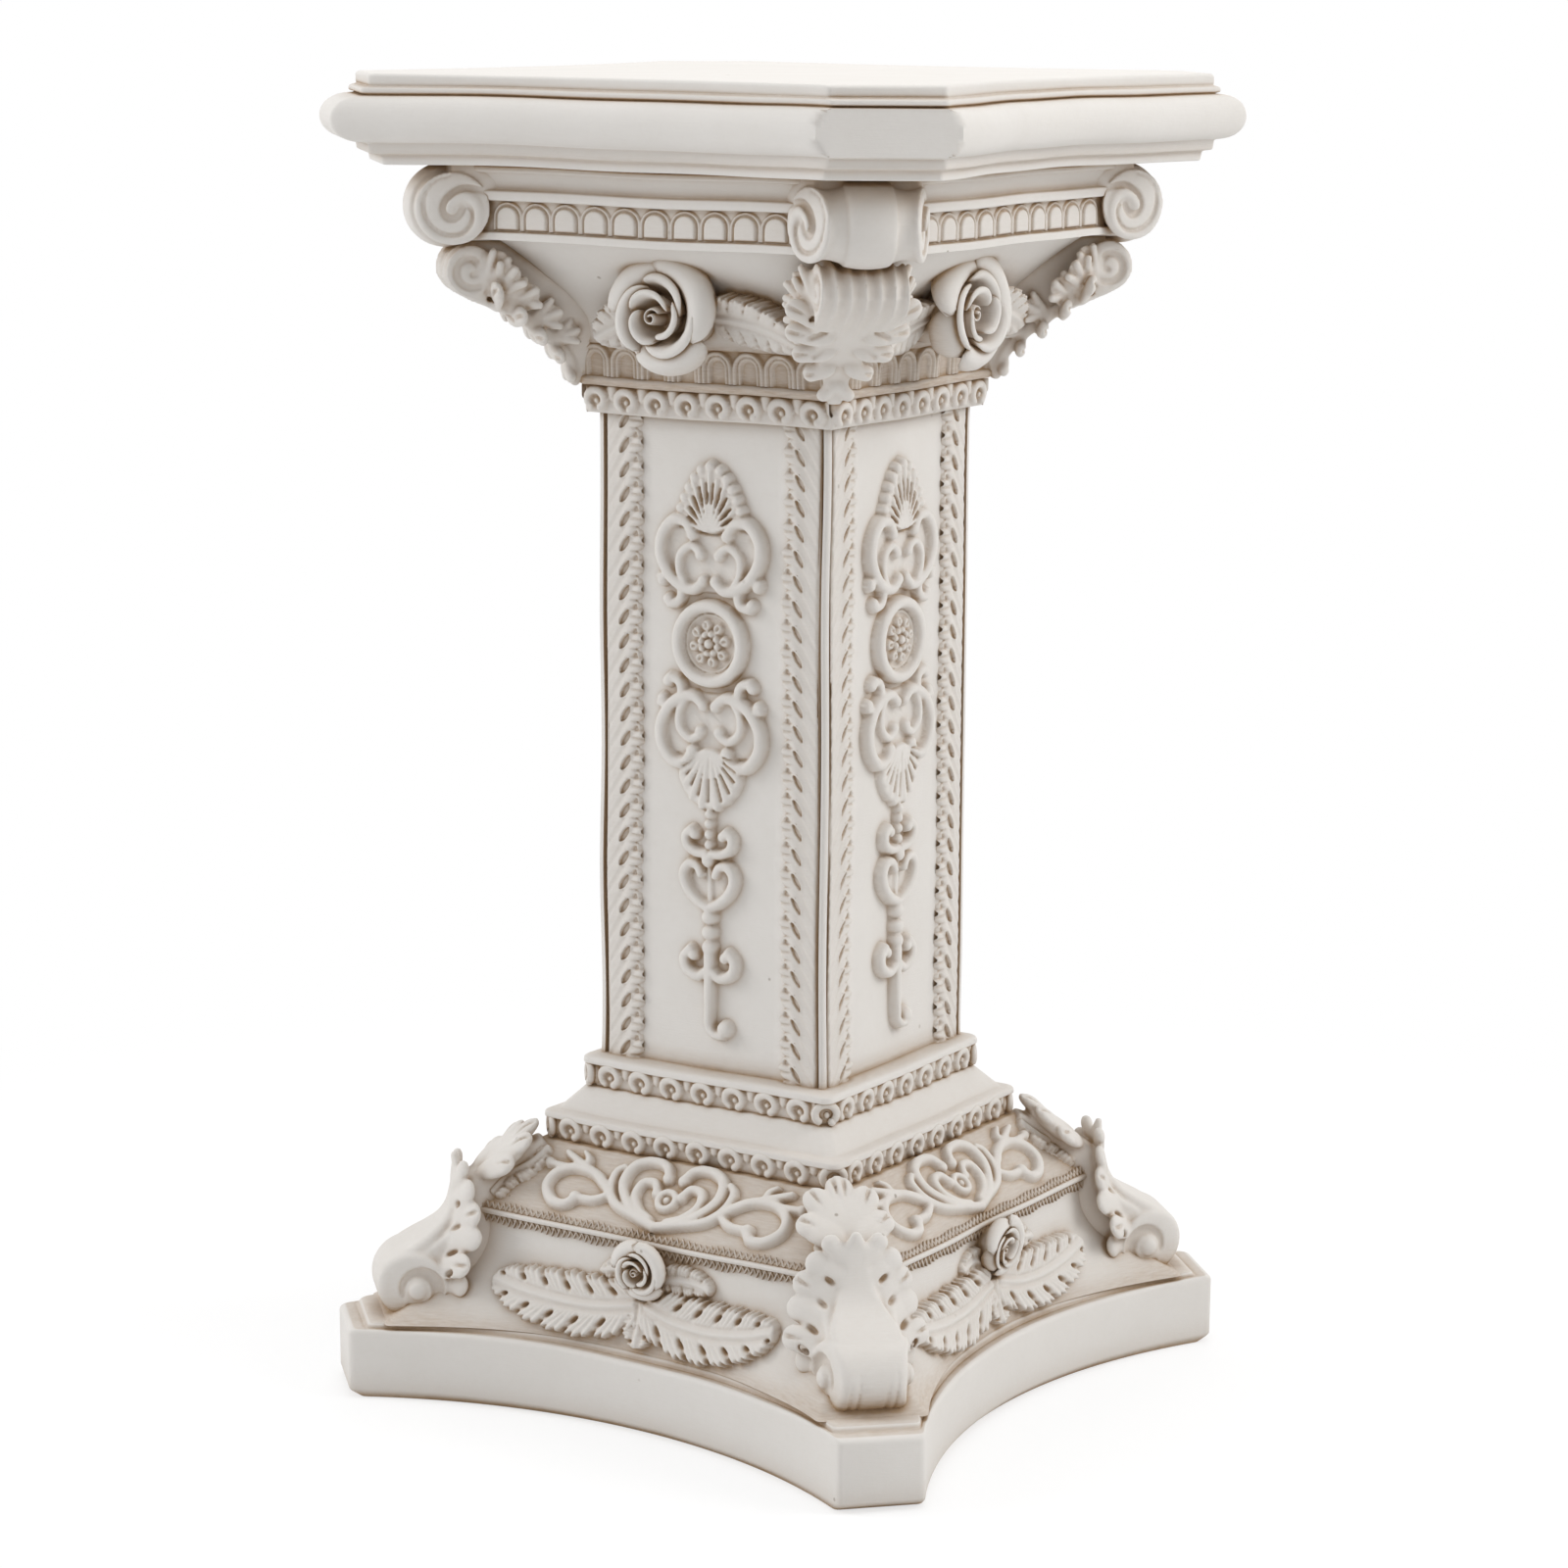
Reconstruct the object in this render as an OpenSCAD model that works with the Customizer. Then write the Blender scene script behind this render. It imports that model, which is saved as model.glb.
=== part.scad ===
// Carved pedestal column: a square shaft with a scrolled capital, a stepped foot and a moulded
// table, cast in one piece. Millimetres, +Z up, origin at the middle of the underside.
// The four sides repeat by quarter turns, so one side and one corner are written out.

/* [Overall] */
// Height from the floor to the table
overall_h = 620; // [520:5:760]
// Width of the plinth between opposite sides, measured at its corners
foot_w = 330; // [275:5:400]
// Width of the table's top edge, measured at its corners
table_w = 315; // [262:5:380]
// Width of the shaft
shaft_w = 126; // [105:1:152]

/* [Plinth] */
// Height of the plinth
plinth_h = 34; // [24:1:46]
// Length cut from each side at a plinth corner
plinth_cut = 30; // [20:1:40]
// Depth to which each side of the plinth curves in
plinth_hollow = 35; // [24:1:42]
// Height of the raised lip on the plinth
lip_h = 3; // [2:0.5:5]
// Ledge left outside the lip
lip_ledge = 5; // [3:0.5:8]

/* [Foot] */
// Height of the foot from the lip to the shaft
foot_h = 121; // [100:1:146]
// How far the rope course stands inside the middle of the plinth's side
rope_inset = 16; // [12:1:20]
// Height of the panel below the rope
spray_panel_h = 47; // [40:1:58]
// Height of the rope course
rope_h = 6; // [4:0.5:9]
// How far the lower bead course stands out from the shaft
lower_course_out = 20; // [16:1:26]
// How far the upper bead course stands out from the shaft
upper_course_out = 7; // [5:0.5:10]
// Height of a bead course
course_h = 13.5; // [11:0.5:16]
// Height of the plain bevel between the bead courses
bevel_h = 12; // [8:1:16]

/* [Shaft] */
// Width of a leaf band
band_w = 19; // [14:1:22]
// Width of the corner strip outside a leaf band
corner_strip_w = 2.6; // [2:0.2:4]
// Groove between the corner strip and the leaf band
groove_w = 2; // [1.2:0.2:3]
// How far bands and strips stand out from the panel
band_t = 1.8; // [1:0.1:2.6]
// Plain panel left above the cartouche
cartouche_top = 15; // [8:1:30]
// Plain panel left below the cartouche
cartouche_foot = 20; // [8:1:30]
// Width of the cartouche
cartouche_w = 60; // [50:1:66]
// Thickness of the cartouche's relief
cartouche_t = 4; // [2:0.5:6]

/* [Beads] */
// Distance between beads
bead_pitch = 17.8; // [15:0.1:21]
// Diameter of a bead's ring
bead_d = 12; // [10:0.5:14]
// How far a bead stands out
bead_t = 2.6; // [1.5:0.1:4]

/* [Capital] */
// Height of the capital from the shaft to the table
capital_h = 114.5; // [100:1:140]
// How far the capital's bead course stands out from the shaft
capital_course_out = 6.5; // [5:0.5:9]
// Height of the arched band above the bead course
arch_h = 15.5; // [14:1:22]
// Distance between the arches
arch_pitch = 13.5; // [11:0.5:17]
// Distance between the egg tiles of the scroll band
egg_pitch = 16; // [13:0.5:20]
// Height of the scroll band under the table
scroll_band_h = 34; // [28:1:40]
// How far the scroll band stands inside the table's top edge
scroll_band_inset = 36; // [30:1:44]
// Radius of a corner scroll
scroll_r = 20; // [16:0.5:23]
// How far a corner scroll's middle stands inside the table's corner
scroll_inset = 39; // [34:1:46]
// Half width of a corner scroll at its front
scroll_front = 11.5; // [9:0.5:15]
// Turn of a scroll's side away from the diagonal
scroll_turn = 19; // [12:1:24]
// Diameter of the rose on each side
rose_d = 56; // [46:1:62]
// How far the rose's heart stands out from the shaft
rose_out = 40; // [32:1:46]

/* [Table] */
// Thickness of the table
table_h = 40; // [34:1:50]
// Length cut from each side at a table corner
table_cut = 36; // [26:1:44]
// Depth to which each side of the table curves in
table_hollow = 16; // [6:1:22]
// How far the round edge stands out from the top edge
edge_out = 11; // [7:0.5:14]
// Height of the round edge
edge_h = 21; // [17:0.5:25]

/* [Foot scrolls] */
// Radius of a foot scroll
foot_scroll_r = 16.5; // [13:0.5:19]
// How far a foot scroll's middle stands inside the plinth's corner
foot_scroll_inset = 30; // [26:1:38]
// Half width of a foot scroll
foot_scroll_half = 20; // [16:0.5:24]
// Height of a foot scroll's leaf tip above the plinth
leaf_tip_h = 79; // [68:1:90]

/* [Hidden] */
tint = "antiquewhite";

arc_steps = 6;              // straight runs that make up one curved side
sink = 2;                   // depth that relief is let into the face behind it
z_lip = plinth_h + lip_h;
z_rope = z_lip + spray_panel_h;
z_shaft = z_lip + foot_h;
z_upper = z_shaft - course_h - 1.5;
z_bevel = z_upper - bevel_h;
z_lower = z_bevel - course_h;
z_table = overall_h - table_h;
z_cap = z_table - capital_h;
z_arch = z_cap + course_h + 3;
z_bell = z_arch + arch_h;
z_band = z_table - scroll_band_h;

foot_half = foot_w / 2;
table_half = table_w / 2;
shaft_half = shaft_w / 2;
panel_half = shaft_half - band_t;
plinth_mid = foot_half - plinth_hollow;
rope_half = plinth_mid - rope_inset;
lower_half = shaft_half + lower_course_out;
upper_half = shaft_half + upper_course_out;
cap_half = shaft_half + capital_course_out;
band_half = table_half - scroll_band_inset;
bell_top = band_half - 9;
plinth_corner_r = (2 * foot_half - plinth_cut) / sqrt(2);
table_corner_r = (2 * table_half - table_cut) / sqrt(2);
scroll_c = table_corner_r - scroll_inset;
foot_scroll_c = plinth_corner_r - foot_scroll_inset;
shaft_l = z_cap - z_shaft;

// ---- outlines and lofts ----

// Rise of a shallow arc of half length a and sagitta g, at distance x from its middle.
function bow(a, g, x) =
    g < 0.01 ? 0 : let (r = (a * a + g * g) / (2 * g)) g - r + sqrt(r * r - x * x);

function turned(p, deg) = [p[0] * cos(deg) - p[1] * sin(deg), p[0] * sin(deg) + p[1] * cos(deg)];

// Plan of a square of half width h, its corners cut by c and its sides bowed in by g.
function plan(h, c, g, n) = [
    for (q = [0 : 3], i = [0 : n])
        let (a = h - c, x = a * (2 * i / n - 1))
            turned([x, -h + bow(a, g, x)], 90 * q)
];

// Solid through plans given as [z, half width, corner cut, hollow], lowest first.
module loft(levels, n = 1) {
    m = 4 * (n + 1);
    rings = [for (v = levels) plan(v[1], v[2], v[3], n)];
    top = len(levels) - 1;
    points = concat(
        [for (k = [0 : top], p = rings[k]) [p[0], p[1], levels[k][0]]],
        [[0, 0, levels[0][0]], [0, 0, levels[top][0]]]
    );
    low_mid = len(points) - 2;
    high_mid = len(points) - 1;
    sides = [
        for (k = [0 : top - 1], i = [0 : m - 1])
            let (a = k * m + i, b = k * m + (i + 1) % m)
                each [[a, a + m, b + m], [a, b + m, b]]
    ];
    low = [for (i = [0 : m - 1]) [low_mid, i, (i + 1) % m]];
    high = [for (i = [0 : m - 1]) [high_mid, top * m + (i + 1) % m, top * m + i]];
    polyhedron(points = points, faces = concat(low, sides, high));
}

// Points of an arc about [x, y].
function arc(x, y, r, from, to, n) =
    [for (i = [0 : n]) let (t = from + (to - from) * i / n) [x + r * cos(t), y + r * sin(t)]];

// Points of a spiral that runs from radius r0 to r1 over the given turn.
function spiral(r0, r1, from, turn, n) =
    [for (i = [0 : n]) let (t = from + turn * i / n, r = r0 + (r1 - r0) * i / n) [r * cos(t), r * sin(t)]];

function backwards(v) = [for (i = [len(v) - 1 : -1 : 0]) v[i]];

// Flat ribbon of width w along an arc.
module ribbon(x, y, r, w, from, to, n = 5) {
    polygon(concat(arc(x, y, r + w / 2, from, to, n), backwards(arc(x, y, r - w / 2, from, to, n))));
}

// Relief drawn in [across, up] on a face d out from the axis; it stands t proud of that face.
module on_face(d, t) {
    translate([0, -d + sink, 0])
        rotate([90, 0, 0])
            linear_extrude(t + sink)
                children();
}

// The same on a panel whose foot is at [d, z] and which leans back by the angle given.
module on_slope(d, z, lean, t) {
    translate([0, -d, z])
        rotate([90 - lean, 0, 0])
            translate([0, 0, -sink])
                linear_extrude(t + sink)
                    children();
}

module quarters() {
    for (q = [0 : 3])
        rotate([0, 0, 90 * q])
            children();
}

// ---- the plain mass ----

module plinth() {
    lip_half = foot_half - lip_ledge;
    loft([
        [0, foot_half, plinth_cut, plinth_hollow],
        [plinth_h, foot_half, plinth_cut, plinth_hollow],
        [plinth_h, lip_half, plinth_cut, plinth_hollow],
        [z_lip, lip_half, plinth_cut, plinth_hollow],
    ], arc_steps);
}

// The panel that sweeps down from the straight rope course to the hollow plinth.
module spray_panel() {
    spread = foot_half - lip_ledge - 3;
    steps = 3;
    loft([
        for (i = [0 : steps])
            let (t = i / steps, s = pow(1 - t, 2.2))
                [z_lip - 1 + (z_rope - z_lip + 1) * t,
                 rope_half + (spread - rope_half) * s,
                 6 + (plinth_cut + 6 - 6) * s,
                 plinth_hollow * s]
    ], arc_steps);
}

module foot_mass() {
    loft([
        [z_rope - 0.5, rope_half, 6, 0],
        [z_rope, rope_half + 2, 6, 0],
        [z_rope + rope_h, rope_half + 2, 6, 0],
        [z_rope + rope_h, rope_half - 2, 5, 0],
        [z_lower - 1.5, lower_half - 4, 3, 0],
        [z_lower, lower_half - 1, 3, 0],
        [z_lower + course_h, lower_half - 1, 3, 0],
        [z_bevel + 1, lower_half - 6, 3, 0],
        [z_upper - 1, upper_half - 3, 2, 0],
        [z_upper, upper_half - 1, 2, 0],
        [z_upper + course_h, upper_half - 1, 2, 0],
        [z_shaft, shaft_half + 2, 1, 0],
        [z_shaft + 0.5, panel_half, 1, 0],
    ]);
}

module shaft_mass() {
    loft([
        [z_shaft - 1, panel_half, 1, 0],
        [z_cap + 1, panel_half, 1, 0],
    ]);
}

module capital_mass() {
    bell = [
        for (i = [0 : 4])
            let (t = i / 4)
                [z_bell + (z_band - z_bell) * t,
                 cap_half + 2 + (bell_top - cap_half - 2) * pow(t, 1.6),
                 4 + 26 * t,
                 0]
    ];
    loft(concat([
        [z_cap, cap_half - 1, 2, 0],
        [z_cap + course_h, cap_half - 1, 2, 0],
        [z_cap + course_h + 0.5, cap_half + 3, 2, 0],
        [z_arch, cap_half + 3, 2, 0],
        [z_arch + 0.5, cap_half, 3, 0],
        [z_bell - 0.5, cap_half + 1, 3, 0],
    ], bell, [
        [z_band + 0.5, band_half, 30, 0],
        [z_band + 4, band_half, 30, 0],
        [z_band + 4.5, band_half - 2.5, 30, 0],
        [z_band + 17, band_half - 2.5, 30, 0],
        [z_band + 17.5, band_half + 2, 30, 0],
        [z_band + 22, band_half + 2, 30, 0],
        [z_band + 22.5, band_half - 1, 30, 0],
        [z_table - 4, band_half + 1, 30, 0],
        [z_table - 3.5, band_half + 4, 30, 0],
        [z_table + 1, band_half + 4, 30, 0],
    ]));
}

module table() {
    z_edge = z_table + 9;
    round_edge = [
        for (i = [0 : 4])
            let (t = -90 + 180 * i / 4)
                [z_edge + edge_h / 2 * (1 + sin(t)),
                 table_half + 1 + (edge_out - 1) * cos(t),
                 table_cut,
                 table_hollow]
    ];
    loft(concat([
        [z_table, table_half - 3, table_cut, table_hollow],
        [z_table + 4.5, table_half - 3, table_cut, table_hollow],
        [z_table + 4.6, table_half, table_cut, table_hollow],
    ], round_edge, [
        [overall_h - 6, table_half - 4, table_cut, table_hollow],
        [overall_h - 5, table_half, table_cut, table_hollow],
        [overall_h, table_half, table_cut, table_hollow],
    ]), arc_steps);
}

// ---- courses of repeated ornament on one side ----

module bead(half, z) {
    on_face(half, bead_t)
        translate([0, z + course_h / 2])
            circle(d = bead_d, $fn = 5);
}

// Beads along one side of a course, and one on the corner where asked for.
module bead_row(half, z, count, at_corner) {
    for (i = [0 : count - 1])
        translate([(i - (count - 1) / 2) * bead_pitch, 0, 0])
            bead(half - 1, z);
    if (at_corner)
        rotate([0, 0, 45])
            bead((half - 2) * sqrt(2), z);
}

// The raised bed of a leaf band, beside the corner strip.
module leaf_band() {
    outer = shaft_half - corner_strip_w - groove_w;
    translate([outer - band_w, z_shaft])
        square([band_w, shaft_l]);
}

module shaft_bands() {
    for (side = [0, 1])
        mirror([side, 0, 0])
            on_face(panel_half, band_t)
                leaf_band();
    translate([shaft_half - corner_strip_w, -shaft_half, z_shaft - 0.5])
        cube([corner_strip_w, corner_strip_w, shaft_l + 1]);
}

// Strip whose top edge runs in points, one to each tile or arch.
module pointed_strip(z, h, pitch, tile, count) {
    w = count * pitch;
    tips = [
        for (i = [0 : count - 1])
            each [[w / 2 - (i + 0.5) * pitch, h], [w / 2 - (i + 1) * pitch, h - tile]]
    ];
    translate([0, z])
        polygon(concat([[-w / 2, 0], [w / 2, 0], [w / 2, h - tile]], tips));
}

// Egg tiles between the corner scrolls.
module egg_strip() {
    on_face(band_half - 2.5, 1.5)
        pointed_strip(z_band + 4, 13, egg_pitch, 8, floor((2 * band_half - 84) / egg_pitch));
}

module arch_strip() {
    on_face(cap_half, 2)
        pointed_strip(z_arch, arch_h - 4, arch_pitch, 8, floor((2 * cap_half - 8) / arch_pitch));
}

// ---- the cartouche on the shaft ----

// Half a lyre: an open scroll that springs from the foot, with its eye.
module half_lyre(w, h) {
    ribbon(w * 0.29, h * 0.62, w * 0.18, 4.5, 250, -20, 3);
    polygon([[0, 0], [w * 0.26, h * 0.3], [w * 0.14, h * 0.55], [0, h * 0.25]]);
}

module both_ways() {
    for (side = [0, 1])
        mirror([side, 0])
            children();
}

module leaf_fan(w, h, lobes) {
    edge = [
        for (i = [0 : 2 * lobes])
            let (t = 200 - 220 * i / (2 * lobes), s = i % 2 == 0 ? 0.75 : 1)
                [w / 2 * s * cos(t), h * 0.4 + h * 0.6 * s * sin(t)]
    ];
    polygon(concat([[0, 0]], edge));
}

module ring_boss(r) {
    difference() {
        circle(r = r, $fn = 9);
        circle(r = r - 5, $fn = 6);
    }
    circle(r = r * 0.5, $fn = 5);
}

// Half of the drop below the shell: two curls, the side of a heart and the stem.
module half_drop(w, h) {
    polygon([
        [0, 0], [1.8, 0], [1.8, h * 0.3], [w * 0.34, h * 0.31], [1.8, h * 0.45],
        [1.8, h * 0.55], [w * 0.46, h * 0.76], [1.8, h * 0.8], [w * 0.36, h * 0.95], [1.8, h],
        [0, h],
    ]);
}

// The parts of the cartouche share its height by these fractions.
module cartouche() {
    height = shaft_l - cartouche_top - cartouche_foot;
    foot = z_shaft + cartouche_foot;
    on_face(panel_half, cartouche_t) {
        translate([0, foot + height * 0.87])
            leaf_fan(cartouche_w * 0.62, height * 0.13, 3);
        translate([0, foot + height * 0.75])
            both_ways()
                half_lyre(cartouche_w, height * 0.14);
        translate([0, foot + height * 0.68])
            ring_boss(height * 0.073);
        translate([0, foot + height * 0.61])
            mirror([0, 1])
                both_ways()
                    half_lyre(cartouche_w, height * 0.14);
        translate([0, foot + height * 0.49])
            mirror([0, 1])
                leaf_fan(cartouche_w * 0.5, height * 0.1, 2);
        translate([0, foot])
            both_ways()
                half_drop(cartouche_w * 0.5, height * 0.42);
        translate([0, foot])
            square([12, 3.6]);
    }
}

// ---- carving of the foot ----

module arabesque() {
    rise = z_lower - z_rope - rope_h;
    run = rope_half - lower_half;
    mid = norm([rise, run]) / 2;
    r = mid * 0.72;
    on_slope(rope_half - 1, z_rope + rope_h, atan2(run, rise), 2.5)
        translate([0, mid]) {
            circle(r = 4, $fn = 5);
            both_ways() {
                ribbon(r * 1.15, 0, r, 4, -150, 140, 4);
                ribbon(r * 3.3, 0, r * 0.9, 4, 190, -110, 2);
            }
        }
}

// Leaf outline from its root at the origin along +X, its edge cut into lobes.
module leaf(l, w, lobes) {
    upper = [
        for (i = [1 : 2 * lobes])
            let (t = i / (2 * lobes + 1), s = i % 2 == 0 ? 0.72 : 1)
                [l * t, w / 2 * s * sin(180 * pow(t, 0.8))]
    ];
    polygon(concat([[0, 0]], upper, [[l, 0]], [for (p = backwards(upper)) [p[0], -p[1]]]));
}

// A rose between leaves on the sweeping panel.
module spray() {
    lean = 9;
    on_slope(rope_half + 12, z_lip, lean, 5) {
        translate([4, 16.5])
            rotate(184)
                leaf(80, 26, 2);
        translate([-9, 17.5])
            rotate(-8)
                leaf(82, 26, 2);
        translate([2, 32])
            rotate(-25)
                leaf(26, 14, 1);
    }
    on_slope(rope_half + 10, z_lip, lean, 11)
        translate([2, 38])
            circle(r = 10.5, $fn = 6);
}

// ---- carving of the capital ----

// One petal of a rose of radius r, standing out from the stalk and cupped outwards.
module petal(r, lift) {
    hull() {
        translate([0, 0, r * 0.62])
            rotate([90 + lift, 0, 0])
                cylinder(r = r * 0.42, h = 3, $fn = 4);
        translate([0, 12, 0])
            rotate([90, 0, 0])
                cylinder(r = r * 0.4, h = 10, $fn = 3);
    }
}

module rose() {
    r = rose_d / 2;
    z = z_bell + 17;
    out = shaft_half + rose_out;
    translate([0, -out, z]) {
        for (i = [0 : 4])
            translate([0, 12, 0])
                rotate([0, 72 * i + 20, 0])
                    petal(r, -20);
        translate([0, 26, 0])
            rotate([90, 0, 0])
                cylinder(r1 = r * 0.7, r2 = r * 0.34, h = 26, $fn = 5);
    }
    for (side = [0, 1])
        mirror([side, 0, 0])
            on_slope(cap_half + 12, z - 4, -30, 5)
                translate([r * 0.6, 0])
                    rotate(-8)
                        leaf(42, 28, 1);
}

// Profile in [out, up] of the leafy bracket under a corner scroll.
function bracket_profile() =
    let (r = 12, out = scroll_c - 8, up = z_band - 15)
        concat(
            arc(out, up, r, 80, -90, 6),
            [[cap_half * 1.75, z_bell + 2], [cap_half * 1.5, z_arch], [cap_half, z_arch - 4],
             [cap_half, z_band + 4], [out, z_band + 4]]
        );

module bracket() {
    intersection() {
        rotate([90, 0, 90])
            linear_extrude(80, center = true)
                polygon([for (p = bracket_profile()) [-p[0], p[1]]]);
        rotate([90, 0, 0])
            linear_extrude(3 * scroll_c)
                polygon([
                    [-5, z_arch - 4], [5, z_arch - 4], [13, z_arch + 8], [11, z_bell],
                    [30, z_bell + 22], [20, z_band - 18], [20, z_band + 4], [-20, z_band + 4],
                    [-20, z_band - 18], [-30, z_bell + 22], [-11, z_bell], [-13, z_arch + 8],
                ]);
    }
}

// Raised spiral of n runs on the side of a scroll of radius r, its band w wide at the start.
module scroll_side(r, w, t, n) {
    turns = spiral(r - w / 2, r * 0.3, 110, -440, n);
    inner = spiral(r - 1.7 * w, r * 0.1, 110, -440, n);
    linear_extrude(t)
        polygon(concat(turns, backwards(inner)));
}

// A corner scroll: a drum whose two sides splay, with a raised spiral on each side.
module corner_scroll() {
    z = z_table - scroll_r + 1;
    back = scroll_c - 26;
    front = scroll_c + scroll_r + 1;
    splay = tan(scroll_turn);
    back_half = scroll_front + (front - back) * splay;
    mid_half = scroll_front + (front - scroll_c) * splay;
    intersection() {
        union() {
            translate([0, -scroll_c, z])
                rotate([0, 90, 0])
                    cylinder(r = scroll_r, h = 90, center = true, $fn = 14);
            translate([-45, -scroll_c - scroll_r * 0.7, z])
                cube([90, 60, scroll_r]);
        }
        linear_extrude(z_table + 1)
            polygon([
                [-scroll_front, -front], [scroll_front, -front],
                [back_half, -back], [-back_half, -back],
            ]);
    }
    for (side = [0, 1])
        mirror([side, 0, 0])
            translate([mid_half - 0.5, -scroll_c, z])
                rotate([0, 0, 90 - scroll_turn])
                    rotate([90, 0, 0])
                        scroll_side(scroll_r, 4, 2.4, 5);
}

// ---- foot scrolls on the plinth's corners ----

function foot_profile() =
    let (r = foot_scroll_r, out = foot_scroll_c, up = z_lip - 2 + foot_scroll_r)
        concat(
            [[rope_half, z_lip - 2], [out, z_lip - 2]],
            arc(out, up, r, -60, 80, 4),
            [[out - 16, z_lip + 44], [out - 19, z_lip + 58],
             [out - 20, z_lip + leaf_tip_h], [out - 28, z_lip + leaf_tip_h - 4],
             [out - 33, z_lip + leaf_tip_h - 12], [rope_half, z_rope]]
        );

module foot_scroll() {
    w = foot_scroll_half;
    tip = z_lip + leaf_tip_h;
    intersection() {
        rotate([90, 0, 90])
            linear_extrude(3 * w, center = true)
                polygon([for (p = foot_profile()) [-p[0], p[1]]]);
        rotate([90, 0, 0])
            linear_extrude(2 * foot_half)
                polygon([
                    [-w, z_lip - 2], [w, z_lip - 2], [w, z_lip + 28], [w * 0.6, z_lip + 34],
                    [w * 1.15, z_lip + 48], [w * 0.5, tip - 10], [w * 0.3, tip], [-w * 0.3, tip],
                    [-w * 0.5, tip - 10], [-w * 1.15, z_lip + 48], [-w * 0.6, z_lip + 34],
                    [-w, z_lip + 28],
                ]);
    }
    for (side = [0, 1])
        mirror([side, 0, 0])
            translate([w - 1, -foot_scroll_c, z_lip - 2 + foot_scroll_r])
                rotate([90, 0, 90])
                    linear_extrude(3)
                        circle(r = foot_scroll_r * 0.5, $fn = 6);
}

// ---- assembly ----

module side_carving() {
    course_len = 2 * lower_half;
    bead_row(upper_half, z_upper, floor((2 * upper_half - bead_pitch * 0.6) / bead_pitch), true);
    bead_row(lower_half, z_lower, floor((course_len - bead_pitch * 0.6) / bead_pitch), true);
    bead_row(cap_half, z_cap, floor(2 * cap_half / bead_pitch), false);
    shaft_bands();
    egg_strip();
    arch_strip();
    cartouche();
    arabesque();
    spray();
    rose();
}

module pedestal() {
    color(tint)
        union() {
            plinth();
            spray_panel();
            foot_mass();
            shaft_mass();
            capital_mass();
            table();
            quarters() {
                side_carving();
                rotate([0, 0, 45]) {
                    corner_scroll();
                    bracket();
                    foot_scroll();
                }
            }
        }
}

pedestal();
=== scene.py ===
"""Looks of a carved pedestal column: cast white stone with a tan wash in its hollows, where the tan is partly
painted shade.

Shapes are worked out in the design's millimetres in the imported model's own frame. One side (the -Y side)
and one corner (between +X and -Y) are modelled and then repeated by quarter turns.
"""

import math

import bpy
import numpy as np
import openvdb
from mathutils import Matrix, Vector


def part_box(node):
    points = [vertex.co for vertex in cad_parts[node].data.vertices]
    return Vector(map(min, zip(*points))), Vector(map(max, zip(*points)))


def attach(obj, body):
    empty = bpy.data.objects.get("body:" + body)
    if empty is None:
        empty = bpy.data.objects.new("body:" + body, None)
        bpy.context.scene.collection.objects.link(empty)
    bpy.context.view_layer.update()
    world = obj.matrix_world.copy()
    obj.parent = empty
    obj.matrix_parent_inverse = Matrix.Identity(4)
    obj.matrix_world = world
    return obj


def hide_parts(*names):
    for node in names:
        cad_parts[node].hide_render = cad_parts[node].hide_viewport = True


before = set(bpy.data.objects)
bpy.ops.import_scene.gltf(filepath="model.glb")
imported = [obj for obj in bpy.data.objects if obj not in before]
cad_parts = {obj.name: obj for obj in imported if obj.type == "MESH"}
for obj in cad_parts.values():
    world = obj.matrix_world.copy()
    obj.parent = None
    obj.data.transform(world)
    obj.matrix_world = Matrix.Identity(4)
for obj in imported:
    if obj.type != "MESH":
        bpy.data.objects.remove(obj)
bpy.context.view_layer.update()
NODE_LOW, NODE_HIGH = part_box("pedestal")

# ---- sizes in the design's millimetres, z from the floor and halves from the axis ----
HEIGHT = 620.0
MM = (NODE_HIGH.z - NODE_LOW.z) / HEIGHT
WIDEST = NODE_HIGH.x / MM

FOOT_HALF = 165.0
FOOT_CUT = 28.0
FOOT_HOLLOW = 35.0
Z_PLINTH = 34.0
Z_LIP = 37.0
Z_ROPE = 84.0
Z_SLOPE = 91.0
Z_LOWER = 117.5
Z_LOWER_TOP = 131.0
Z_UPPER = 143.0
Z_SHAFT = 158.0
Z_CAP = 465.5
Z_ARCH = 482.0
Z_BELL = 497.5
Z_BAND = 546.0
Z_TABLE = 580.0

ROPE_HALF = 114.0
LOWER_HALF = 83.0
UPPER_HALF = 70.0
CAP_HALF = 70.0
SHAFT_HALF = 63.0
PANEL_HALF = 61.2
SWEEP_HALF = 157.0
BAND_HALF = 121.5
BELL_TOP = 113.0
TABLE_HALF = 157.5
TABLE_CUT = 36.0
TABLE_HOLLOW = 16.0
TORUS_HALF = 168.2

LEAF_BAND = (39.5, 58.5)
HALF_ROOT = math.sqrt(0.5)


# ---- gathering meshes ----

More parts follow.
